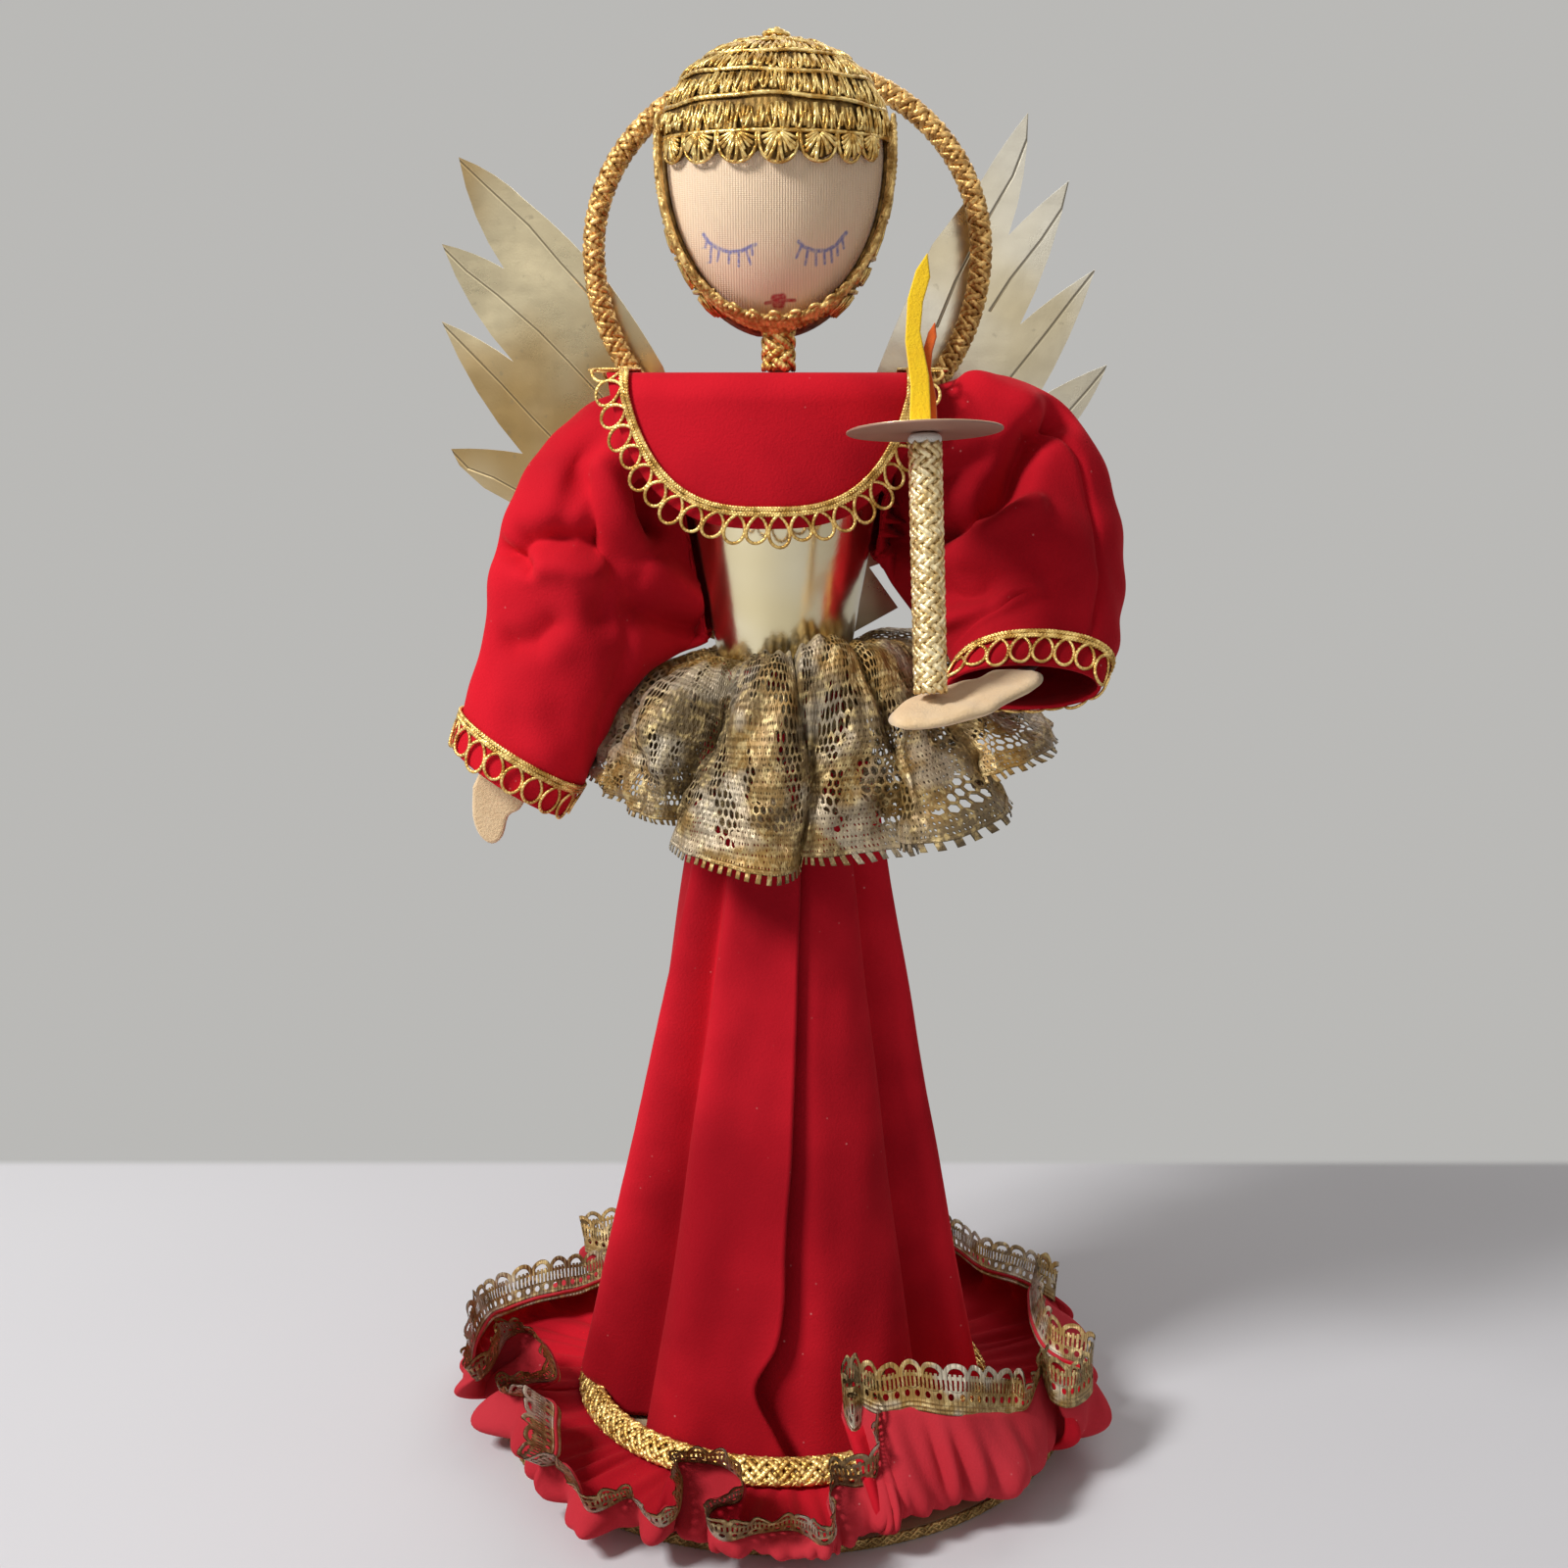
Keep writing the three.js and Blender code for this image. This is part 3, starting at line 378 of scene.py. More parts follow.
def fan_lace(name):
    """Edging with a plain heading, a row of eyelets, and fans of ribs in scallops."""
    look = Look(name, Metallic=0.4)
    x, y, _ = look.flat.parts()
    pitch = 0.006
    u, v = x.over(pitch), y - 0.0098
    reach = (u * u * 1.3 + v * v).root()
    ribs = (x + look.noise(300, 1, look.flat) * 0.0004).over(pitch / 5).abs().step(0.00044, 0.00026)
    rim = (reach - 0.0031).abs().step(0.00085, 0.0006)
    bars = ribs * (y - 0.0082).abs().step(0.0026, 0.0023)
    p, q = (x + pitch / 4).over(pitch / 2), (y - 0.0047) * 0.8
    eyelet = (p * p + q * q).root().step(0.0006, 0.0009)
    heading = (y * (TAU / 0.0012)).sin() * 0.5 + 0.5
    above = y.step(0.0092, 0.0098)
    cord = (y - 0.0096).abs().step(0.0006, 0.0003)
    solid = (y.step(0.0066, 0.0062) * eyelet).high(bars.high(rim * above)).high(cord)
    solid = solid * (reach.step(0.0041, 0.0037)).high(1 - above)
    height = heading * y.step(0.0034, 0.003) * 0.5 + rim * 0.6 + ribs * 0.3
    return lace_finish(look, solid, height, 0.9)


def felt(name, dark, light):
    """Pressed wool: cloudy colour and short loose fibres."""
    look = Look(name, Sheen_Weight=0.35, Sheen_Roughness=0.6, Specular_IOR_Level=0.1)
    return look.feed(Base_Color=look.blend(look.noise(240, 4), dark, light),
                     Roughness=mix(0.85, 1.0, look.noise(500)),
                     Normal=look.relief(look.noise(1100, 4, rough=0.7), 0.0006, 0.7))


def plain(name, dark, light, scale, rough, metallic=0.0, depth=0.0002):
    """Card, wood, wire, foam or wadding: a cloudy tone with a fine surface."""
    look = Look(name, Metallic=metallic)
    return look.feed(Base_Color=look.blend(look.noise(scale, 4), dark, light),
                     Roughness=mix(rough, rough + 0.12, look.noise(scale * 3)),
                     Normal=look.relief(look.noise(scale * 8, 3), depth, 0.5))


def jersey(name):
    """Fine ribbed knit, rosier low on the face, with ink marks read from the mesh."""
    look = Look(name, Sheen_Weight=0.2, Subsurface_Weight=0.08)
    x, _, z = look.place.parts()
    blue, red, _ = look.add("Attribute", {"attribute_name": "ink"}, out="Color").parts()
    tone = look.blend((z * 1000).step(352, 322) * 0.75, (0.93, 0.68, 0.45), (0.92, 0.53, 0.37))
    ribs = (x * (TAU / 0.00072)).sin()
    tone = look.blend(ribs.step(0.1, 1.0) * 0.16, tone, (0.52, 0.33, 0.2))
    tone = look.blend(look.noise(70, 3).step(0.5, 0.75) * 0.12, tone, (0.5, 0.34, 0.24))
    fibre = look.noise(900, 2).step(0.3, 0.62)
    tone = look.blend(blue * mix(0.5, 1.0, fibre) * 0.85, tone, (0.13, 0.15, 0.44))
    tone = look.blend(red * mix(0.75, 1.0, fibre), tone, (0.5, 0.01, 0.03))
    knit = ribs + (z * (TAU / 0.0005)).sin() * 0.4 + look.noise(1400) * 0.6
    return look.feed(Base_Color=tone, Roughness=mix(0.7, 0.85, look.noise(200)),
                     Normal=look.relief(knit, 0.00012, 0.6))


# Meshes: a layer is its points, its four-cornered faces, and each corner's place in the cloth
FAR_SIDE = 1.0


def lattice(rows, cols, wrap_rows=False, wrap_cols=False):
    """Each cell's corners, counted in the points and in the grid with its seam opened."""
    r, c = np.meshgrid(np.arange(rows), np.arange(cols), indexing="ij")
    corners = [(r, c), (r, c + 1), (r + 1, c + 1), (r + 1, c)]
    wide = cols if wrap_cols else cols + 1
    tall = rows if wrap_rows else rows + 1
    places = np.stack([(a % tall) * wide + b % wide for a, b in corners], -1).reshape(-1, 4)
    opened = np.stack([a * (cols + 1) + b for a, b in corners], -1).reshape(-1, 4)
    return places, opened


def outward(points, quads, flat):
    """Turns the faces of a closed layer round where they enclose a negative volume."""
    a, b, c, d = (points[quads[:, i]] for i in range(4))
    volume = np.einsum("ij,ij->", a, np.cross(b, c)) + np.einsum("ij,ij->", a, np.cross(c, d))
    return (points, quads[:, ::-1], flat[:, ::-1]) if volume < 0 else (points, quads, flat)


def join(layers):
    """Several layers as one."""
    starts = np.cumsum([0] + [len(points) for points, _, _ in layers])
    return (np.concatenate([points for points, _, _ in layers]),
            np.concatenate([quads + start for (_, quads, _), start in zip(layers, starts)]),
            np.concatenate([flat for _, _, flat in layers]))


def make(name, body, *dressed, stands_for=(), slot=None, weld=False):
    """A mesh of (layer, material) pairs, riding on a body, or fixed where it is when the body is
    not one name.
    """
    points, quads, flat = join([layer for layer, _ in dressed])
    data = bpy.data.meshes.new(name)
    data.vertices.add(len(points))
    data.vertices.foreach_set("co", (points * MM).astype(np.float32).ravel())
    data.loops.add(quads.size)
    data.loops.foreach_set("vertex_index", quads.astype(np.int32).ravel())
    data.polygons.add(len(quads))
    data.polygons.foreach_set("loop_start", np.arange(0, quads.size, 4, dtype=np.int32))
    data.update(calc_edges=True)
    data.uv_layers.new(name="UVMap").uv.foreach_set("vector", flat.astype(np.float32).ravel())
    which = np.repeat(np.arange(len(dressed)), [len(layer[1]) for layer, _ in dressed])
    for _, material in dressed:
        data.materials.append(material)
    data.polygons.foreach_set("material_index", which.astype(np.int32))
    data.polygons.foreach_set("use_smooth", np.ones(len(quads), bool))
    if weld:
        merged(data)
    data.validate()
    return dress(linked(name, data), body, stands_for)


def linked(name, data):
    """An object of the scene that shows this mesh, lamp or camera."""
    made = bpy.data.objects.new(name, data)
    bpy.context.scene.collection.objects.link(made)
    return made


def dress(made, body, stands_for):
    """Hangs a piece on its body, or fixes it where it is, and hides the parts that it stands for.
    """
    if isinstance(body, str):
        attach(made, body)
    else:
        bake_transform(made)
    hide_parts(*stands_for)
    return made


def merged(data, change=None):
    """Joins points that lie together, and then makes a change to the mesh."""
    work = bmesh.new()
    work.from_mesh(data)
    bmesh.ops.remove_doubles(work, verts=work.verts, dist=1e-6)
    if change:
        change(work)
    work.to_mesh(data)
    work.free()


def normals(points, wrap):
    """Unit normals of a grid of points, by the differences either way."""
    if wrap:
        ring = points[:, :-1]
        across = np.roll(ring, -1, 1) - np.roll(ring, 1, 1)
        across = np.concatenate([across, across[:, :1]], 1)
    else:
        across = np.gradient(points, axis=1)
    return unit(np.cross(across, np.gradient(points, axis=0)))


def cloth(points, thickness, wrap=True, size=None, far=0.0):
    """A sheet with a wall: the grid of points moved out and in by half the thickness. far shifts
    the second side's places in the cloth, so that a look can tell the sides apart."""
    rows, cols = points.shape[0] - 1, points.shape[1] - 1
    away = normals(points, wrap) * thickness / 2
    if size is None:
        size = (np.linalg.norm(np.diff(points, axis=1), axis=2).sum(1).mean(),
                np.linalg.norm(np.diff(points, axis=0), axis=2).sum(0).mean())
    flat = np.stack(cells((0, size[0] * MM), (0, size[1] * MM), cols, rows), -1).reshape(-1, 2)
    quads, opened = lattice(rows, cols, wrap_cols=wrap)
    width = cols if wrap else cols + 1
    keep = slice(None, -1) if wrap else slice(None)
    count = (rows + 1) * width
    both = np.concatenate([(points + away)[:, keep].reshape(-1, 3),
                           (points - away)[:, keep].reshape(-1, 3)])
    c = np.arange(cols)
    n, top = (c + 1) % width, rows * width
    edge = np.stack([c, c + 1, c + 1, c], -1)
    walls = [np.stack([count + c, count + n, n, c], -1),
             np.stack([top + c, top + n, count + top + n, count + top + c], -1)]
    wall_flat = [edge, edge + rows * (cols + 1)]
    if not wrap:
        r, s = np.arange(rows) * width, np.arange(rows) * (cols + 1)
        edge = np.stack([s, s + cols + 1, s + cols + 1, s], -1)
        walls += [np.stack([r, r + width, count + r + width, count + r], -1),
                  np.stack([count + r, count + r + width, r + width, r], -1) + cols]
        wall_flat += [edge, edge + cols]
    faces = np.concatenate([quads, quads[:, ::-1] + count, *walls])
    corners = flat[np.concatenate([opened, opened[:, ::-1], *wall_flat])]
    corners[len(quads):2 * len(quads), :, 1] += far
    return outward(both, faces, corners)


def threads(lines, wide, high, sides=6):
    """Tubes of an oval section. A line is (points, normals, closed), high is along the normal."""
    layers = []
    turn = np.arange(sides) / sides * TAU
    caps = np.array([[0, i, i + 1, i + 2] for i in range(1, sides - 2, 2)])
    for line, away, closed in lines:
        if closed:
            ahead = unit(np.roll(line, -1, 0) - np.roll(line, 1, 0))
        else:
            ahead = unit(np.gradient(line, axis=0))
        across = unit(np.cross(ahead, away))
        up = np.cross(across, ahead)
        ring = (across[:, None] * np.cos(turn)[:, None] * wide / 2
                + up[:, None] * np.sin(turn)[:, None] * high / 2)
        rows = len(line) if closed else len(line) - 1
        quads, opened = lattice(rows, sides, wrap_rows=closed, wrap_cols=True)
        run = running(line)
        if closed:
            run = np.append(run, run[-1] + np.linalg.norm(line[0] - line[-1]))
        u, v = np.repeat(run * MM, sides + 1), np.tile(np.arange(sides + 1) / sides, len(run))
        flat = np.stack([u, v], -1)[opened]
        if not closed:
            last = (len(line) - 1) * sides
            quads = np.concatenate([quads, caps[:, ::-1], caps + last])
            flat = np.concatenate([flat, np.zeros((2 * len(caps), 4, 2))])
        layers.append(((line[:, None] + ring).reshape(-1, 3), quads, flat))
    return outward(*join(layers))


def turned(profile, columns=128, at=(0.0, 0.0)):
    """A closed profile of (radius, height) turned about the upright axis."""
    ring = np.array(profile, float)
    turn = np.linspace(0, TAU, columns + 1)
    points = around(ring[:, :1], turn[None], ring[:, 1:]) + vec(*at, 0)
    quads, opened = lattice(len(ring) - 1, columns, wrap_cols=True)
    u, v = np.meshgrid(turn * ring[:, 0].max() * MM, running(ring) * MM)
    flat = np.stack([u, v], -1).reshape(-1, 2)
    return outward(points[:, :-1].reshape(-1, 3), quads, flat[opened])


def pipe(inner, outer, low, high, columns=48, at=(0.0, 0.0)):
    """An upright tube whose wall lies between two radii."""
    wall = [(inner, low), (outer, low), (outer, high), (inner, high), (inner, low)]
    return turned(wall, columns, at)


class Band:
    """Places on a band that follows a line: by length along it, across it and up from it."""

    def __init__(self, line, beyond, away, closed):
        rows = [line, unit(beyond - line), unit(away)]
        if closed:
            rows = [np.concatenate([row, row[:1]]) for row in rows]
        self.closed, self.rows = closed, rows
        self.run = running(rows[0])
        self.length = self.run[-1]

    def frame(self, s):
        s = s % self.length if self.closed else np.clip(s, 0, self.length)
        return [np.stack([np.interp(s, self.run, row[:, i]) for i in range(3)], -1)
                for row in self.rows]

    def at(self, s, across, up):
        line, side, away = self.frame(s)
        across, up = np.broadcast_arrays(across, up)
        return line + side * across[..., None] + away * up[..., None], away


def edge_band(line, inside, middle):
    """A closed band that goes on past an edge, its face turned away from a middle."""
    away = np.cross(np.roll(line, -1, 0) - np.roll(line, 1, 0), line - inside)
    away *= np.where((away * (line - middle)).sum(-1, keepdims=True) < 0, -1, 1)
    return Band(line, 2 * line - inside, away, True)


def upright_band(x, y, heights):
    """A band that runs straight up, its face to the front."""
    line = vec(x, y, heights)
    return Band(line, line + (1, 0, 0), vec(0 * heights, -1, 0), False)


def tube_round(band, radius, squash=1.0):
    """Places on a tube round the band's line, by length, angle round and lift off the surface."""
    def at(s, angle, lift):
        line, side, away = band.frame(s)
        wide = ((radius + lift) * np.cos(angle))[:, None]
        high = ((radius * squash + lift) * np.sin(angle))[:, None]
        out = side * (np.cos(angle) * squash)[:, None] + away * np.sin(angle)[:, None]
        return line + side * wide + away * high, unit(out)
    return at


def plait(band, radius, strands, pitch, lift, step, squash=1.0):
    """Lines of a tubular plait: strands wind both ways, over two and under two."""
    at = tube_round(band, radius, squash)
    s = np.linspace(0, band.length, int(band.length / step))
    if band.closed:
        pitch = band.length / round(band.length / pitch)
        s = s[:-1]
    lines = []
    for way in (1, -1):
        for k in range(strands):
            angle = TAU * k / strands + way * TAU * s / pitch
            weave = np.cos(np.pi * s * strands / pitch - np.pi / 4 + (0 if way > 0 else np.pi))
            lines.append((*at(s, angle, lift * weave), band.closed))
    return lines


def flat_plait(band, centre, half, pitch, lift, up, step):
    """Lines of a flat plait of three: each swings across the band and lifts over the next."""
    repeats = max(round(band.length / pitch), 1)
    n = int(band.length / step)
    s = np.arange(n) * band.length / n if band.closed else np.linspace(0, band.length, n)
    turn = TAU * repeats * s / band.length
    return [(*band.at(s, centre + half * np.sin(swing), up + lift * np.sin(2 * swing)), band.closed)
            for swing in (turn + TAU * k / 3 for k in range(3))]


def loops(band, inner, outer, pitch, swing, up, per=24):
    """A line of overlapping round loops that reach from inner to outer across the band."""
    count = max(round(band.length / pitch), 1)
    t = np.linspace(0, count, count * per + 1)[:-1]
    turn = TAU * t
    uneven = 1 + 0.07 * np.sin(t * 2.7) + 0.05 * np.sin(t * 1.3 + 1)
    across = inner + (outer - inner) * (1 - np.cos(turn)) / 2 * uneven
    s = t / count * band.length + swing * np.sin(turn)
    return [(*band.at(s, across, up + 0.35 * np.sin(turn)), band.closed)]


# Shapes, as in the CAD part. The skirt's overlap is how far its front edge leans round, from the
# hem up. Its folds are an angle at the foot, one at the top, a width and a share of the full depth.
CONE_TOP, CONE_TOP_RADIUS, CONE_FOOT, CONE_FOOT_RADIUS = 232.0, 17.2, 3.5, 42.0
SKIRT_FOOT, SKIRT_TOP = 5.0, WAIST - SEAT
SKIRT_UNDER = 0.45
OVERLAP_TURNS = (0.06, -0.05, -0.155, -0.04, 0.0, 0.005, 0.02, 0.045, 0.06, 0.075, 0.09, 0.105,
                 0.12, 0.14, 0.16, 0.18, 0.2, 0.21, 0.22)
FOLD_DEPTH, LAP_DEPTH = 4.6, 4.2
SKIRT_FOLDS = ((-1.38, -0.7, 0.14, 2.3), (1.26, 1.1, 0.12, 1.9), (1.7, 1.5, 0.3, 0.3),
               (0.98, 0.85, 0.1, -1.7), (-0.62, -0.45, 0.2, 1.0), (-1.04, -0.5, 0.11, -2.0),
               (0.62, 0.5, 0.2, 0.35), (2.2, 2.0, 0.26, 0.8), (-2.25, -2.0, 0.26, 0.8),
               (3.0, 3.1, 0.3, 0.9), (-1.85, -1.5, 0.16, -0.3), (0.2, 0.25, 0.12, 0.25))


def skirt_shape(round_, v):
    """A cone that flares from the waist, with long folds that fade upwards. It starts at the front
    edge, goes round by the angel's right, and ends a little way in under its own start."""
    front = np.where(round_ > np.pi, TAU - round_, -round_)
    azimuth = front + table(OVERLAP_TURNS, v) * hump(front, 1)
    height = mix(SKIRT_FOOT, SKIRT_TOP, v)
    slope = (CONE_FOOT_RADIUS - CONE_TOP_RADIUS) / (CONE_TOP - CONE_FOOT)
    spread = 1 - 0.75 * v
    radius = (CONE_TOP_RADIUS + slope * (CONE_TOP - SKIRT_TOP) + 2.52
              + 0.158 * (SKIRT_TOP - height) - 1.61 * spread)
    for foot, top, width, share in SKIRT_FOLDS:
        away = turn_between(azimuth, mix(foot, top, v))
        radius = radius + FOLD_DEPTH * share * spread * hump(away, width)
    under = np.where(round_ > np.pi, np.exp(-np.maximum(front, 0) / 0.22), 0)
    over = np.where(round_ <= np.pi, 0.8 * np.exp(-round_ / 0.16), 0)
    radius = radius - LAP_DEPTH * spread * (under - over)
    uneven = 0.7 * ripple(3, azimuth * 4, v * 9) + 0.3 * ripple(4, azimuth * 9, v * 14)
    radius = radius + uneven * spread
    grown = ease((height - SKIRT_FOOT) / 7.6 - 0.4)
    return around(mix(np.minimum(HEM_INNER - 1.5, radius), radius, grown), azimuth, height)


# The ruffle's free edge: radius, degrees and height, and how its lace stands on from there
RUFFLE_EDGE = (
    (90.9, -144, 18, -1, 9, 8), (95.6, -135, 17, -2, 9, 8), (75.3, -136, 17, -1, 9, 8),
    (75.9, -122, 16, -1, 9, 8), (80.5, -116, 16, -1, 5, 11), (87.8, -112, 15, -1, 7, 11),
    (94, -107, 14, -3, 7, 10), (95, -101, 16, -4, 9, 8), (94.8, -89, 17, -1, -7, 10),
    (94.7, -77, 17, -1, -9, 9), (89.8, -78, 20, 1, -6, 11), (85.7, -89, 20, -2, -8, 10),
    (79.1, -92, 19, -2, -8, 9), (71.6, -86, 17, -3, -8, 9), (69.8, -76, 14, -4, -8, 9),
    (77.3, -75, 14, -2, -9, 8), (87.3, -73, 15, 0, -9, 9), (83, -66, 18, -4, -9, 8),
    (77.9, -58, 20, -9, -2, 8), (82.7, -51, 19, -9, -2, 8), (90.6, -44, 18, -8, -5, 8),
    (95.9, -44, 17, -6, -8, 8), (90.1, -42, 16, -3, -9, 8), (92.8, -37, 15, -3, -9, 8),
    (99.5, -31, 13, -1, -7, 11), (91.4, -27, 15, -1, -9, 9), (96.9, -22, 15, -1, -9, 9),
    (98.9, -19, 14, 0, -8, 10), (92.1, -18, 15, 0, -9, 9), (82.6, -20, 17, -2, -9, 8),
    (75.7, -23, 18, -1, -9, 9), (73.2, -20, 18, 0, -9, 9), (71.8, -13, 17, 0, -8, 10),
    (77.2, -8, 16, -1, -9, 9), (85.3, -8, 15, 0, -8, 9), (88, -12, 14, -1, -9, 9),
    (93.8, -12, 13, -1, -8, 10), (97.9, -9, 12, 0, -6, 11), (93.4, -4, 12, 0, -8, 10),
    (92.4, 2, 12, 0, -7, 10), (99.1, 6, 12, -1, -6, 11), (94.4, 8, 13, -1, -8, 9),
    (83.9, 8, 15, -1, -8, 10), (80.3, 10, 17, -2, -5, 11), (82.5, 14, 17, -2, -3, 12),
    (82.8, 17, 19, 0, -4, 12), (75.1, 20, 25, -2, -5, 11), (67.1, 22, 29, 2, 6, 11),
    (74, 15, 28, -1, 5, 11), (65.8, 14, 30, 0, 5, 11), (63.5, 17, 33, 0, 5, 11),
    (74.3, 21, 34, -1, 5, 11), (76.9, 27, 35, -1, 5, 11), (82.5, 31, 35, -1, 5, 11),
    (85.5, 35, 34, 0, 6, 11), (85.8, 42, 30, 0, 6, 11), (86.3, 46, 28, 2, 9, 8),
    (87, 51, 26, -1, -6, 11), (83.9, 59, 27, -1, -8, 10), (83.6, 63, 28, -2, -7, 10),
    (91.6, 57, 26, 1, 9, 8), (95.3, 60, 24, 1, 9, 8), (96.6, 66, 24, 1, 9, 8),
    (92.7, 71, 25, 3, 9, 8), (85.1, 72, 26, 1, 9, 8), (78.9, 76, 27, 3, 9, 8),
    (75.6, 91, 26, 4, 8, 8), (82.5, 107, 24, 4, 9, 8), (89.7, 106, 20, 2, 9, 8),
    (84.5, 116, 20, 3, 9, 8), (82, 127, 18, 1, 9, 8), (88.7, 141, 17, 0, 9, 8),
    (81, 150, 18, 1, 1, 12), (90, 158, 17, 2, 1, 12), (80, 168, 18, 1, 1, 12),
    (90, 178, 17, 0, 2, 12), (80, 188, 18, -1, 1, 12), (89, 198, 17, -1, 2, 12),
    (80, 208, 18, -2, 1, 12),
)


def ruffle_edge(count):
    """Even steps along a smooth closed curve through the free edge's places, the lace's lean
    there, and the angle at the hem braid from which that part of the ruffle comes."""
    rows = np.array(RUFFLE_EDGE, float)
    edge = around(rows[:, 0], np.radians(rows[:, 1]), rows[:, 2])
    places = np.concatenate([edge, rows[:, 3:]], 1)
    fine = np.linspace(0, len(rows), len(rows) * 40 + 1)
    run = running(closed_curve(places, fine)[:, :3])
    share = np.linspace(0, 1, count + 1)
    both = closed_curve(places, np.interp(share * run[-1], run, fine))
    extra = np.unwrap(np.arctan2(both[:, 0], -both[:, 1])) - TAU * share
    waves = np.fft.rfft(extra[:-1]) * np.exp(-((np.fft.rfftfreq(count, 1 / count) / 7) ** 2))
    start = TAU * share + np.append(np.fft.irfft(waves, count), np.fft.irfft(waves, count)[0])
    return both[:, :3], both[:, 3:], start, run[-1]


def ruffle_shape(edge, start, v):
    """A cubic curve from the hem braid, flat over the disc, out past its rim and up to the free
    edge, with fine gathers near the braid and slight flutes above."""
    reach = np.hypot(edge[:, 0], edge[:, 1])
    lies = np.unwrap(np.arctan2(edge[:, 0], -edge[:, 1]))
    v = v[:, None, None]
    ends = [around(HEM_INNER + 0.6, start, 4.3), around(94, mix(start, lies, 0.35), 4.0),
            around(np.maximum(reach, 93) + 8, mix(start, lies, 0.85), mix(4, edge[:, 2], 0.3)),
            edge]
    points = ((1 - v) ** 3 * ends[0] + 3 * (1 - v) ** 2 * v * ends[1]
              + 3 * (1 - v) * v**2 * ends[2] + v**3 * ends[3])
    gathers = (0.5 * np.sin(54 * start + 3 * np.sin(7 * start))
               + 0.35 * ripple(22, start * 40, v[..., 0] * 6) + 0.5
               ) * hump(v[..., 0] - 0.2, 0.16) * 1.3
    along = np.arange(len(start)) / len(start) * TAU
    flutes = (2.9 * ripple(21, np.cos(along) * 26, np.sin(along) * 26, v[..., 0] * 2.5)
              + 1.9 * ripple(23, np.cos(along) * 60, np.sin(along) * 60, v[..., 0] * 3)
              ) * np.sin(np.pi * v[..., 0] ** 1.4)
    return points + around(1, lies, 0) * flutes[..., None] + vec(0, 0, gathers)


# The peplum round the waist from the front: how far it reaches, how high its hem hangs and how much
# it rises on its way out; then the angles of its ridges
PEPLUM_REACH = (48, 46, 57, 65, 69, 66, 62, 58, 55, 54, 53, 53, 53, 50, 47, 46)
PEPLUM_HEM = (177, 181, 184, 199, 209, 208, 205, 203, 200, 200, 200, 198, 196, 193, 189, 182)
PEPLUM_RISE = (8, 11, 9, 8, 4, 2, 1, 0, 0, 0, 0, 0, 1, 2, 4, 6)
PEPLUM_RIDGES = (-150, -118, -88, -55, -8, 22, 55, 88, 120, 155, 184)
PEPLUM_WIDTH, PEPLUM_START, PEPLUM_LEAST = 58.0, 19.4, 19.2


def peplum_shape(azimuth, v):
    """Lace that stands out from the waist and falls to its hem. Broad ridges with narrow clefts
    between them push it outwards. Each ridge is widest at its top, so it leans over the clefts."""
    ridges = np.radians(np.append(PEPLUM_RIDGES, PEPLUM_RIDGES[0] + 360))
    x, y = np.sin(azimuth), np.cos(azimuth)
    wander = azimuth + 0.13 * ripple(41, x * 3, y * 3, v * 4) * v
    spot = ridges[0] + (wander - ridges[0]) % TAU
    phase = TAU * np.interp(spot, ridges, np.arange(len(ridges)))
    wave = 2.1 * (np.cos(phase / 2) ** 2 + 0.012) ** 0.36 - 1.1
    out = v**0.75
    radius = PEPLUM_START + (round_table(PEPLUM_REACH, azimuth) - PEPLUM_START) * out
    rise = round_table(PEPLUM_RISE, azimuth) * np.sin(np.pi * np.minimum(v * 1.9, 1))
    fall = (WAIST + 2 - round_table(PEPLUM_HEM, azimuth)) * v ** (1.4 + 0.3 * np.sin(azimuth))
    notch = 9 * hump(turn_between(azimuth, 0.13), 0.12) * v**2
    depth = 7.4 * wave * np.minimum(v * 2.2, 1) ** 0.8 * (1 + 0.3 * ripple(42, x * 4, y * 4, v * 3))
    crumple = (2.5 * ripple(11, x * 12, y * 12, v * 8) + 1.5 * ripple(13, x * 24, y * 24, v * 15)
               + 0.7 * ripple(14, x * 48, y * 48, v * 28)) * out
    gathers = 0.7 * np.sin(46 * azimuth + 4 * np.sin(3 * azimuth)) * hump(v - 0.12, 0.14)
    lean = (0.17 * np.sin(phase) + 0.05 * ripple(12, x * 9, y * 9, v * 7)) * out
    tilt = np.pi / 2 * ease(v * 1.2)
    push = depth + crumple
    return around(np.maximum(radius + push * np.sin(tilt), PEPLUM_LEAST), azimuth + lean,
                  WAIST + 2 + rise - fall + notch + push * np.cos(tilt) * 0.8 + gathers)


YOKE_MIDDLE, YOKE_WIDE, YOKE_DROP = -4.3, 44.3, 40.5
BODICE_RADIUS = WAIST_RADIUS + BODICE_FLARE * (BODICE_TOP - WAIST)
YOKE_HALF = 0.6
YOKE_DEPTH = BODICE_RADIUS + 2.2
YOKE_RISE = SHOULDER - YOKE_HALF - BODICE_TOP
YOKE_FLAT = YOKE_DEPTH - YOKE_RISE
YOKE_BEND = YOKE_RISE * np.pi / 2
YOKE_LONG = YOKE_FLAT + YOKE_BEND + YOKE_DROP - YOKE_RISE


def yoke_shape(across, down):
    """A flat oval laid over the shoulder line: level, then bent, then hanging by the bodice."""
    length = np.abs(down)
    turn = np.clip((length - YOKE_FLAT) / YOKE_RISE, 0, np.pi / 2)
    hang = np.maximum(length - YOKE_FLAT - YOKE_BEND, 0)
    depth = np.minimum(length, YOKE_FLAT) + YOKE_RISE * np.sin(turn) - BODICE_FLARE * hang
    wrap = 1 - 0.32 * (across / YOKE_WIDE) ** 2
    return vec(YOKE_MIDDLE + across, -np.sign(down) * depth * wrap,
               BODICE_TOP + YOKE_RISE * np.cos(turn) - hang)


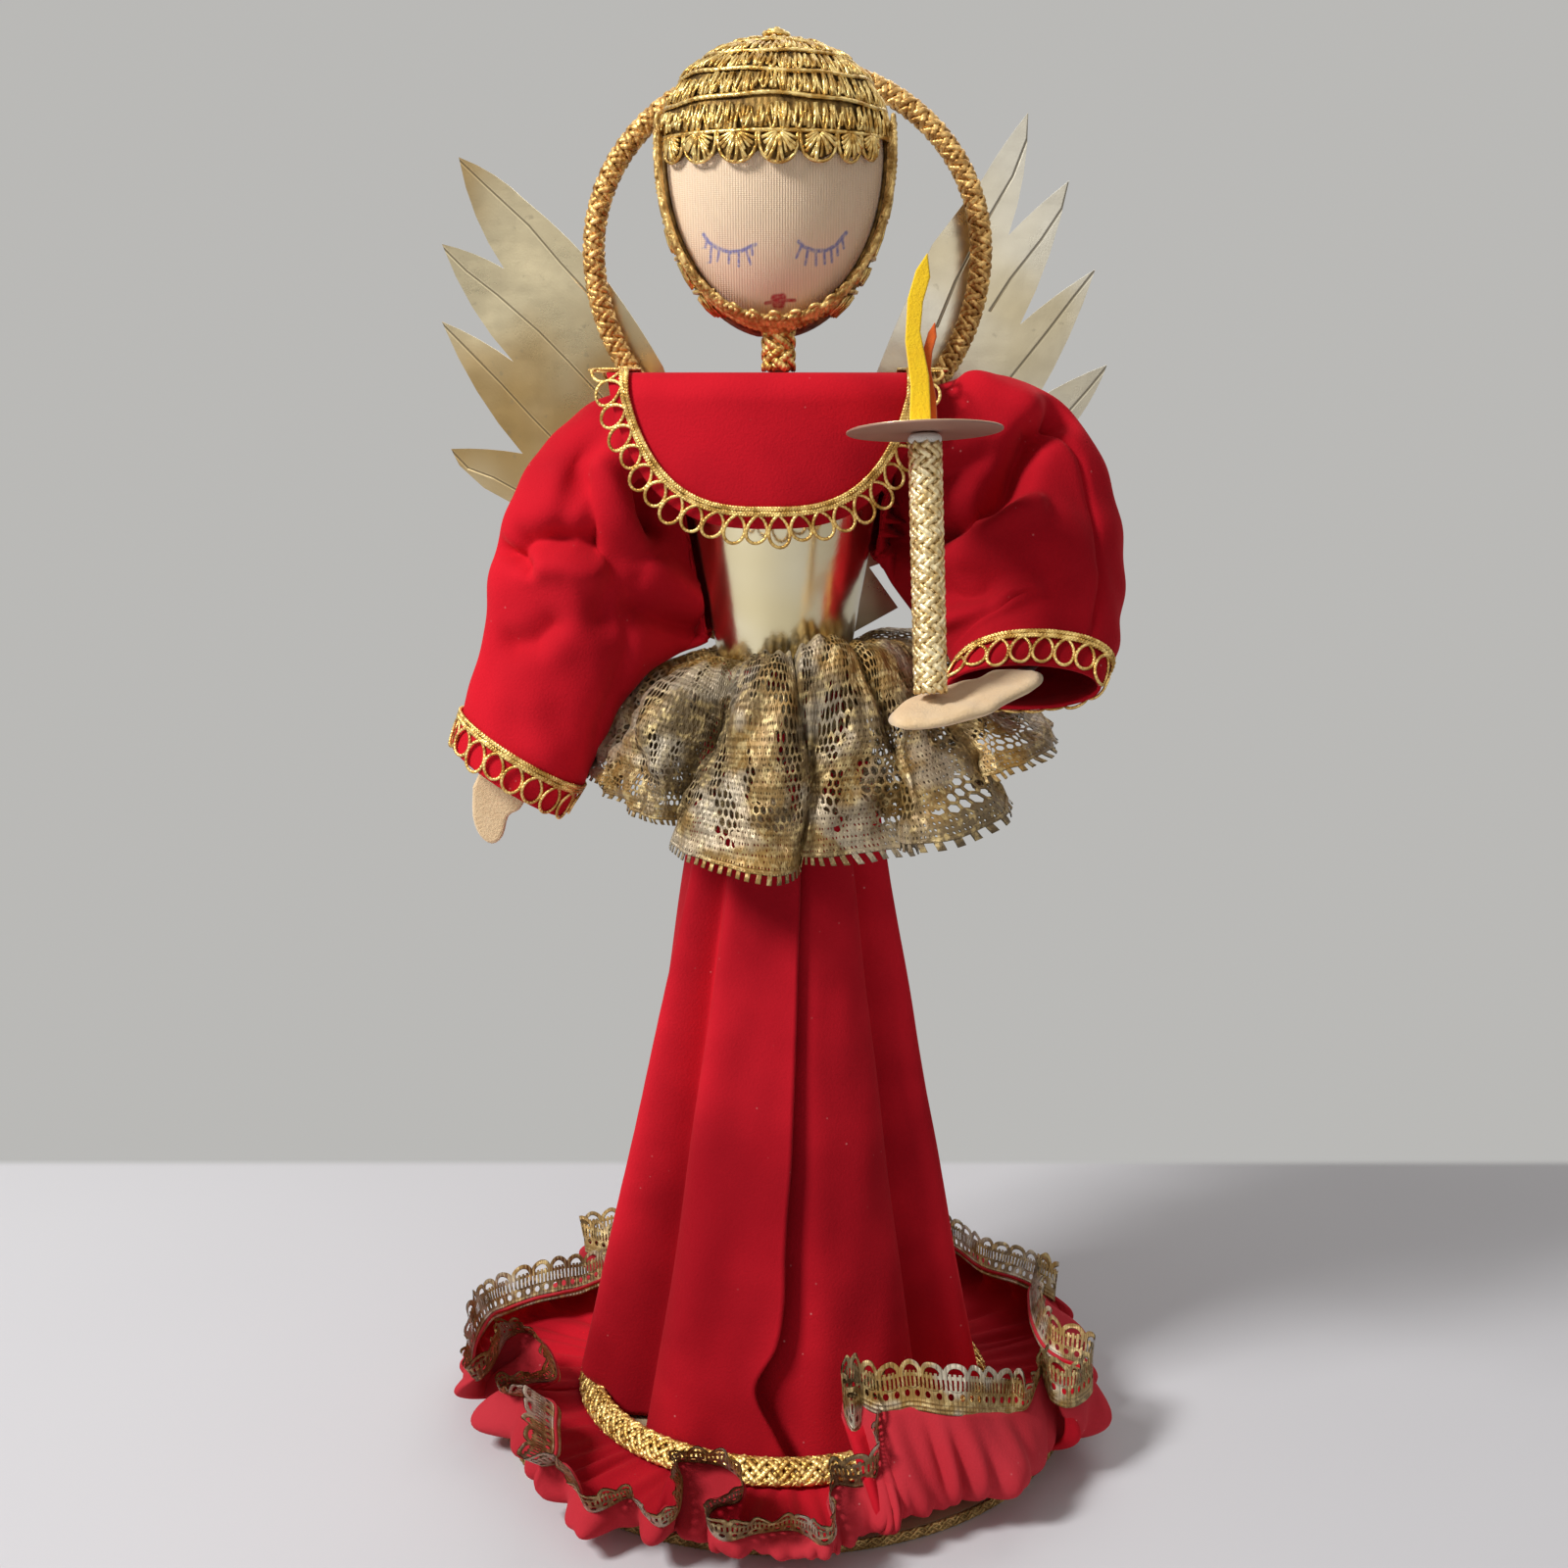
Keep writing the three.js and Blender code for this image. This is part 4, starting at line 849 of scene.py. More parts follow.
def yoke_edge(turn, beyond=0.0):
    """The oval's edge in the flat cloth: an ellipse with squarer corners, let out by beyond."""
    across, down = np.cos(turn), np.sin(turn)
    reach = (np.abs(across) ** 2.8 + np.abs(down) ** 2.8) ** (-1 / 2.8)
    return (YOKE_WIDE + beyond) * across * reach, (YOKE_LONG + beyond) * down * reach


# The sleeves. Each seam has rows for how far it lies across, down and forward, from the shoulder to
# the cuff and times the sizes. A fold is its angle, slant, place along, width, reach and share. A
# crease is its depth, its width and a line of (x, z) places seen from the front.
RIGHT = {
    "side": -1, "size": (94.5, 124.5, 6.0),
    "outer": ((0.2, 0.46, 0.645, 0.783, 0.862, 0.889, 0.931, 1),
              (0.012, 0.044, 0.116, 0.249, 0.402, 0.562, 0.691, 0.835),
              (0, 0.1, 0.4, 0.6, 0.8, 0.9, 1, 1)),
    "inner": ((0.12, 0.25, 0.328, 0.402, 0.476, 0.54, 0.608, 0.672),
              (0.578, 0.606, 0.627, 0.668, 0.735, 0.815, 0.916, 1),
              (0, 0.1, 0.4, 0.6, 0.8, 0.9, 1, 1)),
    "depth": (0.86, 0.95, 1, 0.95, 0.84, 0.74, 0.69, 0.66),
    "folds": ((1.9, 2.2, 0.3, 0.42, 0.24, 0.2), (1.1, -1.6, 0.55, 0.42, 0.24, 0.16),
              (1.5, 5.0, 0.2, 0.16, 0.1, 0.12), (2.3, 3.0, 0.4, 0.16, 0.12, 0.1),
              (0.9, 2.0, 0.32, 0.14, 0.1, 0.08), (-1.5, 2.0, 0.3, 0.3, 0.2, 0.14),
              (-1.9, -2.0, 0.6, 0.3, 0.2, 0.12), (2.6, 1.0, 0.62, 0.2, 0.16, 0.1)),
    "creases": (
        (-9.4, 2.6, ((-38.1, 277.5), (-38.5, 272.3), (-36.7, 267.8))),
        (3.8, 4, ((-50.7, 284.1), (-45.6, 273.9), (-42.0, 265.7), (-38.7, 257.7), (-29.4, 250.2),
                  (-20.9, 245.6))),
        (-4.3, 6, ((-55.9, 286.7), (-52.3, 273.6), (-50.6, 265.1))),
        (-3.5, 5.5, ((-45.3, 259.0), (-47.6, 252.4), (-48.8, 244.3))),
        (-6.0, 2.4, ((-79.9, 262.5), (-74.7, 260.1), (-69.9, 257.7))),
        (-5.6, 4.2, ((-70.6, 264.1), (-61.2, 265.4), (-52.2, 264.1))),
        (3.8, 4.5, ((-69.4, 258.5), (-58.7, 258.5), (-52.3, 256.1))),
        (-4.9, 4, ((-38.9, 245.6), (-29.6, 240.3), (-22.1, 237.0))),
        (-4.5, 4.5, ((-64.5, 241.6), (-69.9, 237.5), (-75.3, 236.2))),
    ),
}
LEFT = {
    "side": 1, "size": (95.0, 97.0, 36.0),
    "outer": ((0.2, 0.42, 0.61, 0.8, 0.937, 1, 0.968, 0.895),
              (0.012, 0.046, 0.02, 0.082, 0.268, 0.536, 0.732, 0.861),
              (0, 0, 0, 0.03, 0.08, 0.22, 0.55, 0.94)),
    "inner": ((0.14, 0.263, 0.326, 0.39, 0.442, 0.484, 0.495, 0.458),
              (0.515, 0.526, 0.608, 0.68, 0.742, 0.794, 0.825, 0.845),
              (0, 0.03, 0.11, 0.22, 0.36, 0.5, 0.7, 1.05)),
    "depth": (0.86, 0.93, 1, 1, 1, 0.92, 0.68, 0.36),
    "folds": ((1.3, -2.4, 0.42, 0.42, 0.24, 0.24), (1.9, -1.2, 0.62, 0.4, 0.2, 0.16),
              (1.5, -4.0, 0.3, 0.16, 0.1, 0.1), (2.2, -2.0, 0.5, 0.18, 0.12, 0.1),
              (-1.6, -2.0, 0.4, 0.3, 0.2, 0.12), (2.7, -1.0, 0.35, 0.2, 0.14, 0.1)),
    "creases": (
        (-10.9, 4.0, ((75.0, 297.9), (68.0, 292.6), (64.5, 287.2), (61.3, 280.8), (55.0, 274.4),
                     (48.1, 269.8), (40.3, 265.1))),
        (4.9, 3.0, ((67.4, 274.4), (59.7, 272.6), (53.2, 270.6), (46.8, 266.9), (40.4, 262.5))),
        (-1.6, 1.1, ((74.0, 298.6), (80.5, 287.2), (84.6, 271.8), (86.4, 256.3), (84.0, 243.1),
                     (81.7, 234.7))),
        (-10.9, 7.5, ((26.4, 279.6), (26.8, 269.3), (29.2, 263.6))),
        (3.6, 2.6, ((42.5, 243.1), (52.4, 247.1), (66.9, 253.7))),
        (-4.2, 4.5, ((46.6, 250.5), (54.4, 250.5))),
        (3.6, 3.6, ((51.2, 306.9), (64.1, 301.2), (73.3, 296.1))),
    ),
}


SLEEVE_DEEP, ARM_STEP = 20.5, 0.02
# How far a sleeve keeps off the bodice, and the heights below which its side and its front do so
BODICE_GAP, SIDE_GAP, SIDE_TOP, FRONT_TOP, FADE = 0.8, 1.2, 292, 290, 16


def seam(sleeve, line, t):
    """Places along the outer or inner seam, t from 0 at the shoulder to 1 at the cuff."""
    across, fall, forward = (size * table(row, t)
                             for size, row in zip(sleeve["size"], sleeve[line]))
    return vec(sleeve["side"] * across, -forward, SHOULDER - fall)


def arm_middle(sleeve, t):
    return (seam(sleeve, "outer", t) + seam(sleeve, "inner", t)) / 2


def sleeve_shape(sleeve, turn, v):
    """An oval between the two seams, deep fore and aft, pinched by folds that run slantwise. It
    is pushed out of the bodice, and its front thins to a wedge where it lies beside it."""
    t = np.clip(v, 0, 1)
    middle = arm_middle(sleeve, t)
    ahead = unit(arm_middle(sleeve, np.minimum(t + ARM_STEP, 1))
                 - arm_middle(sleeve, np.maximum(t - ARM_STEP, 0)))
    half = (seam(sleeve, "outer", t) - seam(sleeve, "inner", t)) / 2
    deep = unit(np.cross(ahead, half)) * (SLEEVE_DEEP * table(sleeve["depth"], t))[..., None]
    swell = 1.0
    for at, slope, along, width, reach, share in sleeve["folds"]:
        line = sleeve["side"] * (at + slope * (v - along))
        swell = swell - share * hump(turn_between(turn, line), width) * hump(v - along, reach)
    swell = swell + 0.02 * ripple(7, np.cos(turn) * 2, np.sin(turn) * 2, v * 5)
    end = arm_middle(sleeve, np.array(1.0)) - arm_middle(sleeve, np.array(1 - ARM_STEP))
    beyond = np.linalg.norm(end) / ARM_STEP * (v - t)
    swell, turn = swell[..., None], turn[..., None]
    points = (middle + ahead * beyond[..., None] + half * np.cos(turn) * (1 + swell) / 2
              + deep * np.sin(turn) * swell)
    flat = np.hypot(points[..., 0], points[..., 1])
    height = np.clip(points[..., 2], WAIST, BODICE_TOP)
    clear = WAIST_RADIUS + BODICE_FLARE * (height - WAIST) + SEAT + BODICE_GAP
    push = np.maximum(clear / np.maximum(flat, 1e-6), 1)
    points = points * np.stack([push, push, np.ones_like(push)], -1)
    least = ((clear + SIDE_GAP) * ease((SIDE_TOP - points[..., 2]) / FADE)
             * ease((FADE - points[..., 1]) / FADE))
    side = sleeve["side"]
    points[..., 0] = side * np.maximum(side * points[..., 0], least)
    near = mix(0.05, 1.0, ease((side * points[..., 0] - clear) / 24))
    low = ease((FRONT_TOP - points[..., 2]) / FADE)
    points[..., 1] *= np.where(points[..., 1] < 0, mix(1, near, low), 1)
    return points


def creased(sleeve, points, v):
    """Creases drawn as lines seen from the front: each moves the cloth that faces the front out or
    in by its depth, fading with distance from its line."""
    away = normals(points, True)
    away = away * np.sign((away * (points - points.mean(1, keepdims=True))).sum(-1).mean())
    depth = sum(deep * hump(from_line(points[..., 0], points[..., 2], line), width)
                for deep, width, line in sleeve["creases"])
    fine = 0.45 * ripple(17, points[..., 0] / 5, points[..., 1] / 6, points[..., 2] / 6)
    shown = ease(-away[..., 1] * 2.2) * depth + fine
    return points + away * (shown * (1 - ease((v - 0.86) / 0.1)) * ease(v / 0.1))[..., None]


# Camera, light, floor and background
FIGURE_MIDDLE = Vector((0, 0, 0.2))
scene = bpy.context.scene
scene.view_settings.view_transform = "Standard"
camera = linked("camera", bpy.data.cameras.new("camera"))
camera.data.lens, camera.data.sensor_width = 45.0, 36.0
camera.location = (0.0, -0.5564, 0.3104)
camera.rotation_euler = (np.radians(90 - 11.91), 0.0, 0.0)
scene.camera = camera


def lamp(name, place, size, watts):
    """A square soft lamp that points at the middle of the figure."""
    light = bpy.data.lights.new(name, "AREA")
    light.size, light.energy = size, watts
    made = linked(name, light)
    made.location = place
    made.rotation_euler = (FIGURE_MIDDLE - made.location).to_track_quat("-Z", "Y").to_euler()


lamp("key", (-0.95, -0.6, 1.2), 0.35, 23.0)
lamp("fill", (0.5, -1.3, 0.7), 0.9, 1.2)
lamp("back", (0.3, 1.0, 1.1), 0.9, 4.0)

WALL = (0.49, 0.485, 0.47)
scene.world = bpy.data.worlds.new("studio")
scene.world.use_nodes = True
sky = Nodes(scene.world.node_tree)
seen = sky.add("LightPath", out="Is Camera Ray")
_, _, up = sky.add("TexCoord", out="Generated").parts()
around_light = sky.blend(up.step(-0.3, 0.9), (0.1, 0.1, 0.105), (0.29, 0.28, 0.27))
mirrored = sky.blend(up.step(-0.1, 0.6), (0.3, 0.29, 0.28), (0.95, 0.94, 0.92))
around_light = sky.blend(sky.add("LightPath", out="Is Glossy Ray"), around_light, mirrored)
background = scene.world.node_tree.nodes["Background"]
sky.put(background.inputs["Color"], sky.blend(seen, around_light, WALL))

floor_data = bpy.data.meshes.new("floor")
FLOOR = 4.0
floor_data.from_pydata([(-FLOOR, -FLOOR, 0), (FLOOR, -FLOOR, 0), (FLOOR, FLOOR, 0),
                        (-FLOOR, FLOOR, 0)], [], [(0, 1, 2, 3)])
linked("floor", floor_data)
table_top = Look("table_top", Specular_IOR_Level=0.2)
_, back, _ = table_top.place.parts()
cloudy = table_top.blend(table_top.noise(3.0, 2), (0.6, 0.59, 0.61), (0.66, 0.655, 0.67))
floor_data.materials.append(table_top.feed(Base_Color=cloudy,
                                           Roughness=table_top.noise(9) * 0.1 + 0.6))
# How far back the table's top fades into the wall
TABLE_ENDS = (0.176, 0.184)
wall_shade = table_top.add("Emission", None, {"Color": (*WALL, 1.0)})
path = table_top.add("LightPath", out="Is Camera Ray")
shown = table_top.add("MixShader", None, {0: back.step(*TABLE_ENDS) * path,
                                          1: Value(table_top, table_top.shader.outputs[0]),
                                          2: wall_shade})
table_top.put(table_top.tree.nodes["Material Output"].inputs["Surface"], shown)

# Finishes
red_velvet = velvet("red_velvet", (0.36, 0.003, 0.01), (0.62, 0.008, 0.02))
gown_velvet = velvet("gown_velvet", (0.33, 0.003, 0.01), (0.6, 0.01, 0.022))
ruffle_velvet = velvet("ruffle_velvet", (0.3, 0.003, 0.01), (0.55, 0.008, 0.02),
                       (0.5, 0.032, 0.045))
gold_thread = thread("gold_thread", (0.5, 0.28, 0.06), (1.0, 0.74, 0.27), 0.3)
hair_thread = thread("hair_thread", (0.5, 0.28, 0.06), (1.0, 0.76, 0.3), 0.22, 500.0)
jaw_thread = thread("jaw_thread", (0.4, 0.22, 0.05), (0.95, 0.66, 0.24), 0.3, 500.0, 0.45)
hair_ground = thread("hair_ground", (0.1, 0.055, 0.015), (0.3, 0.18, 0.05), 0.5)
halo_thread = thread("halo_thread", (0.42, 0.22, 0.06), (0.92, 0.6, 0.22), 0.32, 700.0)
pale_thread = thread("pale_thread", (0.66, 0.47, 0.2), (1.0, 0.85, 0.52), 0.3, 700.0)
rim_thread = thread("rim_thread", (0.22, 0.13, 0.04), (0.55, 0.38, 0.15), 0.5)
cord_ground = plain("cord_ground", (0.28, 0.17, 0.05), (0.5, 0.34, 0.14), 400, 0.6, 0.4)
peplum_yarn = net_lace("peplum_yarn", PEPLUM_WIDTH * MM)
edging_yarn = fan_lace("edging_yarn")
bodice_foil = foil("bodice_foil", (0.84, 0.78, 0.58), (0.74, 0.64, 0.38), rough=(0.12, 0.22))
pan_foil = foil("pan_foil", (0.85, 0.78, 0.6), (0.8, 0.66, 0.4))
cream_felt = felt("cream_felt", (0.7, 0.47, 0.24), (0.88, 0.66, 0.4))
yellow_felt = felt("yellow_felt", (0.9, 0.52, 0.0), (0.97, 0.66, 0.002))
orange_felt = felt("orange_felt", (0.68, 0.08, 0.005), (0.8, 0.15, 0.01))
face_jersey = jersey("face_jersey")
brown_card = plain("brown_card", (0.34, 0.24, 0.13), (0.5, 0.38, 0.23), 90, 0.8)
rosy_card = plain("rosy_card", (0.24, 0.12, 0.085), (0.4, 0.22, 0.16), 60, 0.6)
bare_wood = plain("bare_wood", (0.5, 0.35, 0.19), (0.66, 0.5, 0.3), 150, 0.65)
steel_wire = plain("steel_wire", (0.3, 0.3, 0.29), (0.45, 0.45, 0.44), 300, 0.35, 1.0)
white_foam = plain("white_foam", (0.78, 0.76, 0.71), (0.86, 0.84, 0.8), 200, 0.85)
white_wadding = plain("white_wadding", (0.72, 0.68, 0.6), (0.88, 0.85, 0.78), 500, 0.9,
                      depth=0.0006)

for material, names in ((brown_card, ("base_disc", "skirt_cone", "bodice_top")),
                        (steel_wire, ("shoulder_wire", "right_arm_wire", "left_arm_wire")),
                        (bare_wood, ("neck_stick",)), (white_foam, ("head_core",))):
    for name in names:
        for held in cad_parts[name].material_slots:
            held.material = material

# Base: rim braid, ruffle, its lace, and the hem braid
turns = np.linspace(0, TAU, 400, endpoint=False)


def ring_band(radius, height, tip):
    """A band round the upright axis. tip turns its face from outward to upward."""
    line = around(radius, turns, height)
    away = around(np.cos(tip), turns, np.sin(tip))
    return Band(line, line + around(np.sin(tip), turns, -np.cos(tip)), away, True)


rim = ring_band(85.85, 1.8, 0.0)
make("rim_braid", "root", (pipe(85.35, 86.0, 0.25, 2.95, 256), cord_ground),
     (threads(plait(rim, 1.35, 4, 9.0, 0.16, 0.9, 0.3), 0.95, 0.4, 4), rim_thread),
     stands_for=["base_rim_braid"], slot="antique_gold")

edge, lean, start, edge_length = ruffle_edge(960)
ruffle_points = ruffle_shape(edge, start, np.linspace(0, 1, 31))
ruffle = make("velvet_ruffle", "root",
              (cloth(ruffle_points, RUFFLE_VELVET, far=FAR_SIDE), ruffle_velvet),
              stands_for=["base_ruffle"], slot="velvet_red")

LACE_FREE, LACE_LAP = 12.3, 1.8
across = np.linspace(-LACE_LAP, LACE_FREE, 10)[:, None]
along = np.linspace(0, TAU, len(edge))
sway = (0.7 * np.sin(110 * along + 2 * np.sin(5 * along))
        + 0.6 * ripple(31, np.cos(along) * 40, np.sin(along) * 40))
away = unit(np.cross(np.gradient(edge, axis=0), lean))
lace_points = (edge + unit(lean) * across[..., None]
               + away * (0.55 + sway * np.maximum(across / LACE_FREE, 0) ** 1.5)[..., None])
lace_points[:, -1] = lace_points[:, 0]
ruffle_edging = make("ruffle_edging", "root",
                     (cloth(lace_points, NET, size=(edge_length, LACE_LAP + LACE_FREE)),
                      edging_yarn),
                     stands_for=["ruffle_lace"], slot="gold_lace")

hem = ring_band(59.9, 9.1, np.radians(45))
make("hem_plait", "root",
     (threads(plait(hem, 3.5, 6, 19.0, 0.28, 0.8, 0.22), 1.75, 0.8), gold_thread),
     (threads(plait(hem, 1.8, 2, 20.0, 0.1, 2.0, 0.2), 2.2, 0.5), cord_ground),
     stands_for=["hem_braid"], slot="bright_gold")

# Skirt
u, v = cells((0, TAU + SKIRT_UNDER), (0, 1), 300, 130)
skirt_points = skirt_shape(u, v)
skirt = make("velvet_skirt", "root", (cloth(skirt_points, VELVET, wrap=False), gown_velvet),
             stands_for=["skirt"], slot="velvet_red")

# Bodice, yoke and peplum
rise = np.linspace(0, 1, 24)
outer = np.stack([WAIST_RADIUS + BODICE_FLARE * (BODICE_TOP - WAIST) * rise,
                  mix(WAIST, BODICE_TOP, rise)], -1)
shell = np.concatenate([outer, (outer - (0.7, 0))[::-1], outer[:1]])
make("foil_bodice", "root", (turned(shell, 192), bodice_foil),
     stands_for=["bodice_cone"], slot="gold_foil")

turn, v = cells((0, TAU), (0, 1), 240, 70)
edge_across, edge_down = yoke_edge(turn)
NECK_HOLE = 3.1
hole_across = NECK_AT[0] - YOKE_MIDDLE + NECK_HOLE * np.cos(turn)
hole_down = -NECK_AT[1] + NECK_HOLE * np.sin(turn)
yoke_points = yoke_shape(mix(hole_across, edge_across, v), mix(hole_down, edge_down, v))
yoke = make("velvet_yoke", "root", (cloth(yoke_points, VELVET), red_velvet),
            stands_for=["yoke"], slot="velvet_red")

trim_turns = np.linspace(0, TAU, 360, endpoint=False)
yoke_band = edge_band(yoke_shape(*yoke_edge(trim_turns)), yoke_shape(*yoke_edge(trim_turns, -2.0)),
                      np.array([YOKE_MIDDLE, 0, BODICE_TOP - 20]))


def gimp(band, head, tail):
    """Loop gimp: two narrow plaits side by side as its heading, and a row of corded loops."""
    way = np.sign(tail - head)
    heading = [line for centre in (head + way * 0.75, head + way * 2.15)
               for line in flat_plait(band, centre, 0.4, 2.6, 0.24, 1.3, 0.45)]
    rings = loops(band, head + way * 1.5, tail, 5.9, 4.1, 1.1)
    return join([threads(heading, 0.8, 0.62, 5), threads(rings, 0.95, 0.85, 6)])


make("yoke_gimp", "root", (gimp(yoke_band, -6.4, 4.0), gold_thread),
     stands_for=["yoke_trim"], slot="gold_braid")

u, v = cells((0, TAU), (0, 1), 640, 56)
peplum_points = peplum_shape(u, v)
hem_length = np.linalg.norm(np.diff(peplum_points[-1], axis=0), axis=1).sum()
INNER_TURN, INNER_LONG, INNER_WIDE, INNER_DROP = 0.24, 0.86, 0.8, 2.5
inner_points = ((peplum_shape(u + INNER_TURN, v * INNER_LONG) - (0, 0, WAIST))
                * (INNER_WIDE, INNER_WIDE, 1) + (0, 0, WAIST - INNER_DROP))
peplum = make("lace_peplum", "root",
              *[(cloth(layer, NET, size=(hem_length, PEPLUM_WIDTH)), peplum_yarn)
                for layer in (peplum_points, inner_points)],
              stands_for=["peplum_lace"], slot="gold_lace")


# Sleeves and their cuffs
def dress_arm(word, sleeve):
    """A sleeve, fixed where it is, and the gimp round its cuff, which moves with the arm."""
    side = sleeve["side"]
    turn, v = cells((0, TAU), (0, 1), 250, 130)
    made = make(f"{word}_velvet_sleeve", ("root", f"{word}_arm", (side * 0.032, 0, 0.29),
                                          (side * 0.06, 0, 0.29)),
                (cloth(creased(sleeve, sleeve_shape(sleeve, turn, v), v), VELVET), red_velvet),
                stands_for=[f"{word}_sleeve"], slot="velvet_red")
    turn = np.linspace(0, TAU, 200, endpoint=False)
    line = sleeve_shape(sleeve, turn, np.full_like(turn, 1.0))
    back = sleeve_shape(sleeve, turn, np.full_like(turn, 0.97))
    band = edge_band(line, back, line.mean(0))
    make(f"{word}_cuff_gimp", f"{word}_arm", (gimp(band, -11.0, -0.3), gold_thread),
         stands_for=[f"{word}_cuff_trim"], slot="gold_braid")
    return made


right_sleeve = dress_arm("right", RIGHT)
left_sleeve = dress_arm("left", LEFT)


# Felt hands and flames
def copied(node, material, change):
    """A solid's mesh with its doubled points joined, then changed, and with one material."""
    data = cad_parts[node].data.copy()
    merged(data, change)
    data.materials.clear()
    data.materials.append(material)
    return data


def flattened(work):
    """Joins faces that lie in one plane."""
    bmesh.ops.dissolve_limit(work, angle_limit=np.radians(1), verts=work.verts, edges=work.edges)


def softened(node, name, body, material, width):
    """A copy of a felt solid with its edges rounded."""
    made = linked(name, copied(node, material, flattened))
    bevel = made.modifiers.new("rounded", "BEVEL")
    bevel.width, bevel.segments, bevel.limit_method = width * MM, 3, "ANGLE"
    return dress(made, body, [node])


softened("right_hand", "right_mitten", "right_arm", cream_felt, 0.9)

# The mitten under the candle: its outline seen from above, and the slope that it lies at
MITTEN = ((26.6, -66.0), (29.5, -72.0), (38.5, -72.6), (46.5, -69.8), (52.6, -67.0), (58.0, -61.0),
          (66.5, -53.0), (67.0, -45.5), (58.0, -43.0), (51.5, -46.5), (43.0, -50.0), (33.0, -55.5),
          (28.0, -60.5))
MITTEN_THICK = 3.0


def mitten_top(x, y):
    """A plane that rises away from the viewer and towards the wrist, sagging at the fingertips."""
    return (227.4 + 0.24 * (y - CANDLE_AT[1]) + 0.09 * (x - CANDLE_AT[0])
            - 0.012 * np.maximum(34 - x, 0) ** 2)


def mitten(count=72, rings=12):
    """A felt pad: rings from its middle to its outline and back below, its edge rounded."""
    rows = np.array(MITTEN, float)
    outline = closed_curve(rows, np.linspace(0, len(rows), count + 1))
    reach = np.concatenate([np.linspace(0.001, 1, rings), np.linspace(1, 0.001, rings)[1:]])
    side = np.concatenate([np.ones(rings), -np.ones(rings - 1)])
    flat = outline.mean(0) + reach[:, None, None] * (outline - outline.mean(0))
    half = MITTEN_THICK / 2 * np.sqrt(np.maximum(1 - reach**10, 0)) * side
    x, y = flat[..., 0], flat[..., 1]
    rough = 0.25 * ripple(61, x / 2.5, y / 2.5) * (side > 0)[:, None]
    points = vec(x, y, mitten_top(x, y) - MITTEN_THICK / 2 + half[:, None] + rough)
    quads, opened = lattice(len(reach) - 1, count, wrap_cols=True)
    places = np.stack([x, y], -1).reshape(-1, 2) * MM
    return outward(points[:, :-1].reshape(-1, 3), quads, places[opened])


make("left_mitten", "left_arm", (mitten(), cream_felt),
     stands_for=["left_hand"], slot="felt_cream", weld=True)
softened("flame_yellow", "yellow_flame", "left_arm", yellow_felt, 0.45)
softened("flame_orange", "orange_flame", "left_arm", orange_felt, 0.45)

# Candle
LEAN, TILT = -0.157, -0.026
CANDLE_X = np.array([np.cos(TILT), np.sin(LEAN) * np.sin(TILT), -np.cos(LEAN) * np.sin(TILT)])
CANDLE_Z = np.array([np.sin(TILT), -np.sin(LEAN) * np.cos(TILT), np.cos(LEAN) * np.cos(TILT)])
CANDLE_Y = np.cross(CANDLE_Z, CANDLE_X)
CANDLE_FOOT, CANDLE_LONG, PAN = 1.64, 64.0, 67.94


def on_candle(points):
    """Places given from the candle's foot, its own axis upright."""
    return (CANDLE_AT + points[..., :1] * CANDLE_X
            + points[..., 1:2] * CANDLE_Y + points[..., 2:] * CANDLE_Z)


def up_candle(layer):
    """A layer built upright, put where the candle leans."""
    points, quads, flat = layer
    return on_candle(points), quads, flat


up = np.linspace(0, CANDLE_LONG - 1, 60)
stem = upright_band(0, 0, CANDLE_FOOT + 0.5 + up)
make("candle_plait", "left_arm",
     (up_candle(threads(plait(stem, 3.75, 8, 20.0, 0.28, 0.55), 1.75, 0.95)), pale_thread),
     (up_candle(pipe(3.0, 3.6, 1.9, 65.2)), cord_ground),
     stands_for=["candle_braid"], slot="bright_gold")
fluff = np.linspace(0, 1, 12)
core = [(0.001, 1.7), *[(2.6, h) for h in np.linspace(1.7, 64, 6)],
        *[(3.0 + 1.3 * np.sin(np.pi * f) ** 0.5, 64.8 + 2.8 * f) for f in fluff], (0.001, 67.7)]
make("candle_wadding", "left_arm", (up_candle(turned(core, 40)), white_wadding),
     stands_for=["candle_core"], slot="wadding", weld=True)
# The pan's two layers, as (radius, height above the pan's underside)
PAN_CARD = ((0.001, 0), (19.7, 0), (19.95, 0.15), (19.95, 0.5), (0.001, 0.5))
PAN_FOIL = ((0.001, 0.52), (19.8, 0.52), (19.8, 0.7), (0.001, 0.7))
make("candle_pan", "left_arm",
     *[(up_candle(turned([(wide, PAN + high) for wide, high in profile], 128)), look)
       for profile, look in ((PAN_CARD, rosy_card), (PAN_FOIL, pan_foil))],
     stands_for=["drip_pan"], slot="gold_foil", weld=True)


# Head
def egg(shrink, turn):
    """The head's profile: a squarer crown over a longer chin, by angle from its widest place."""
    chin = turn < 0
    wide = (32.6 - shrink) * np.cos(turn) ** np.where(chin, 1, 0.86)
    rise = np.where(chin, (47 - shrink) * np.sin(turn),
                    (33 - shrink) * np.maximum(np.sin(turn), 0) ** 0.9)
    return wide, HEAD + rise


PROFILE_TURNS = np.linspace(-1.5, 1.54, 600)
PROFILE_WIDE, PROFILE_HIGH = egg(0, PROFILE_TURNS)
PROFILE_RUN = running(np.stack([PROFILE_WIDE, PROFILE_HIGH], -1))
PROFILE_RUN -= np.interp(HEAD, PROFILE_HIGH, PROFILE_RUN)


def profile(run):
    """How wide and how high the profile is, by length along it up from its widest place."""
    return np.interp(run, PROFILE_RUN, PROFILE_WIDE), np.interp(run, PROFILE_RUN, PROFILE_HIGH)


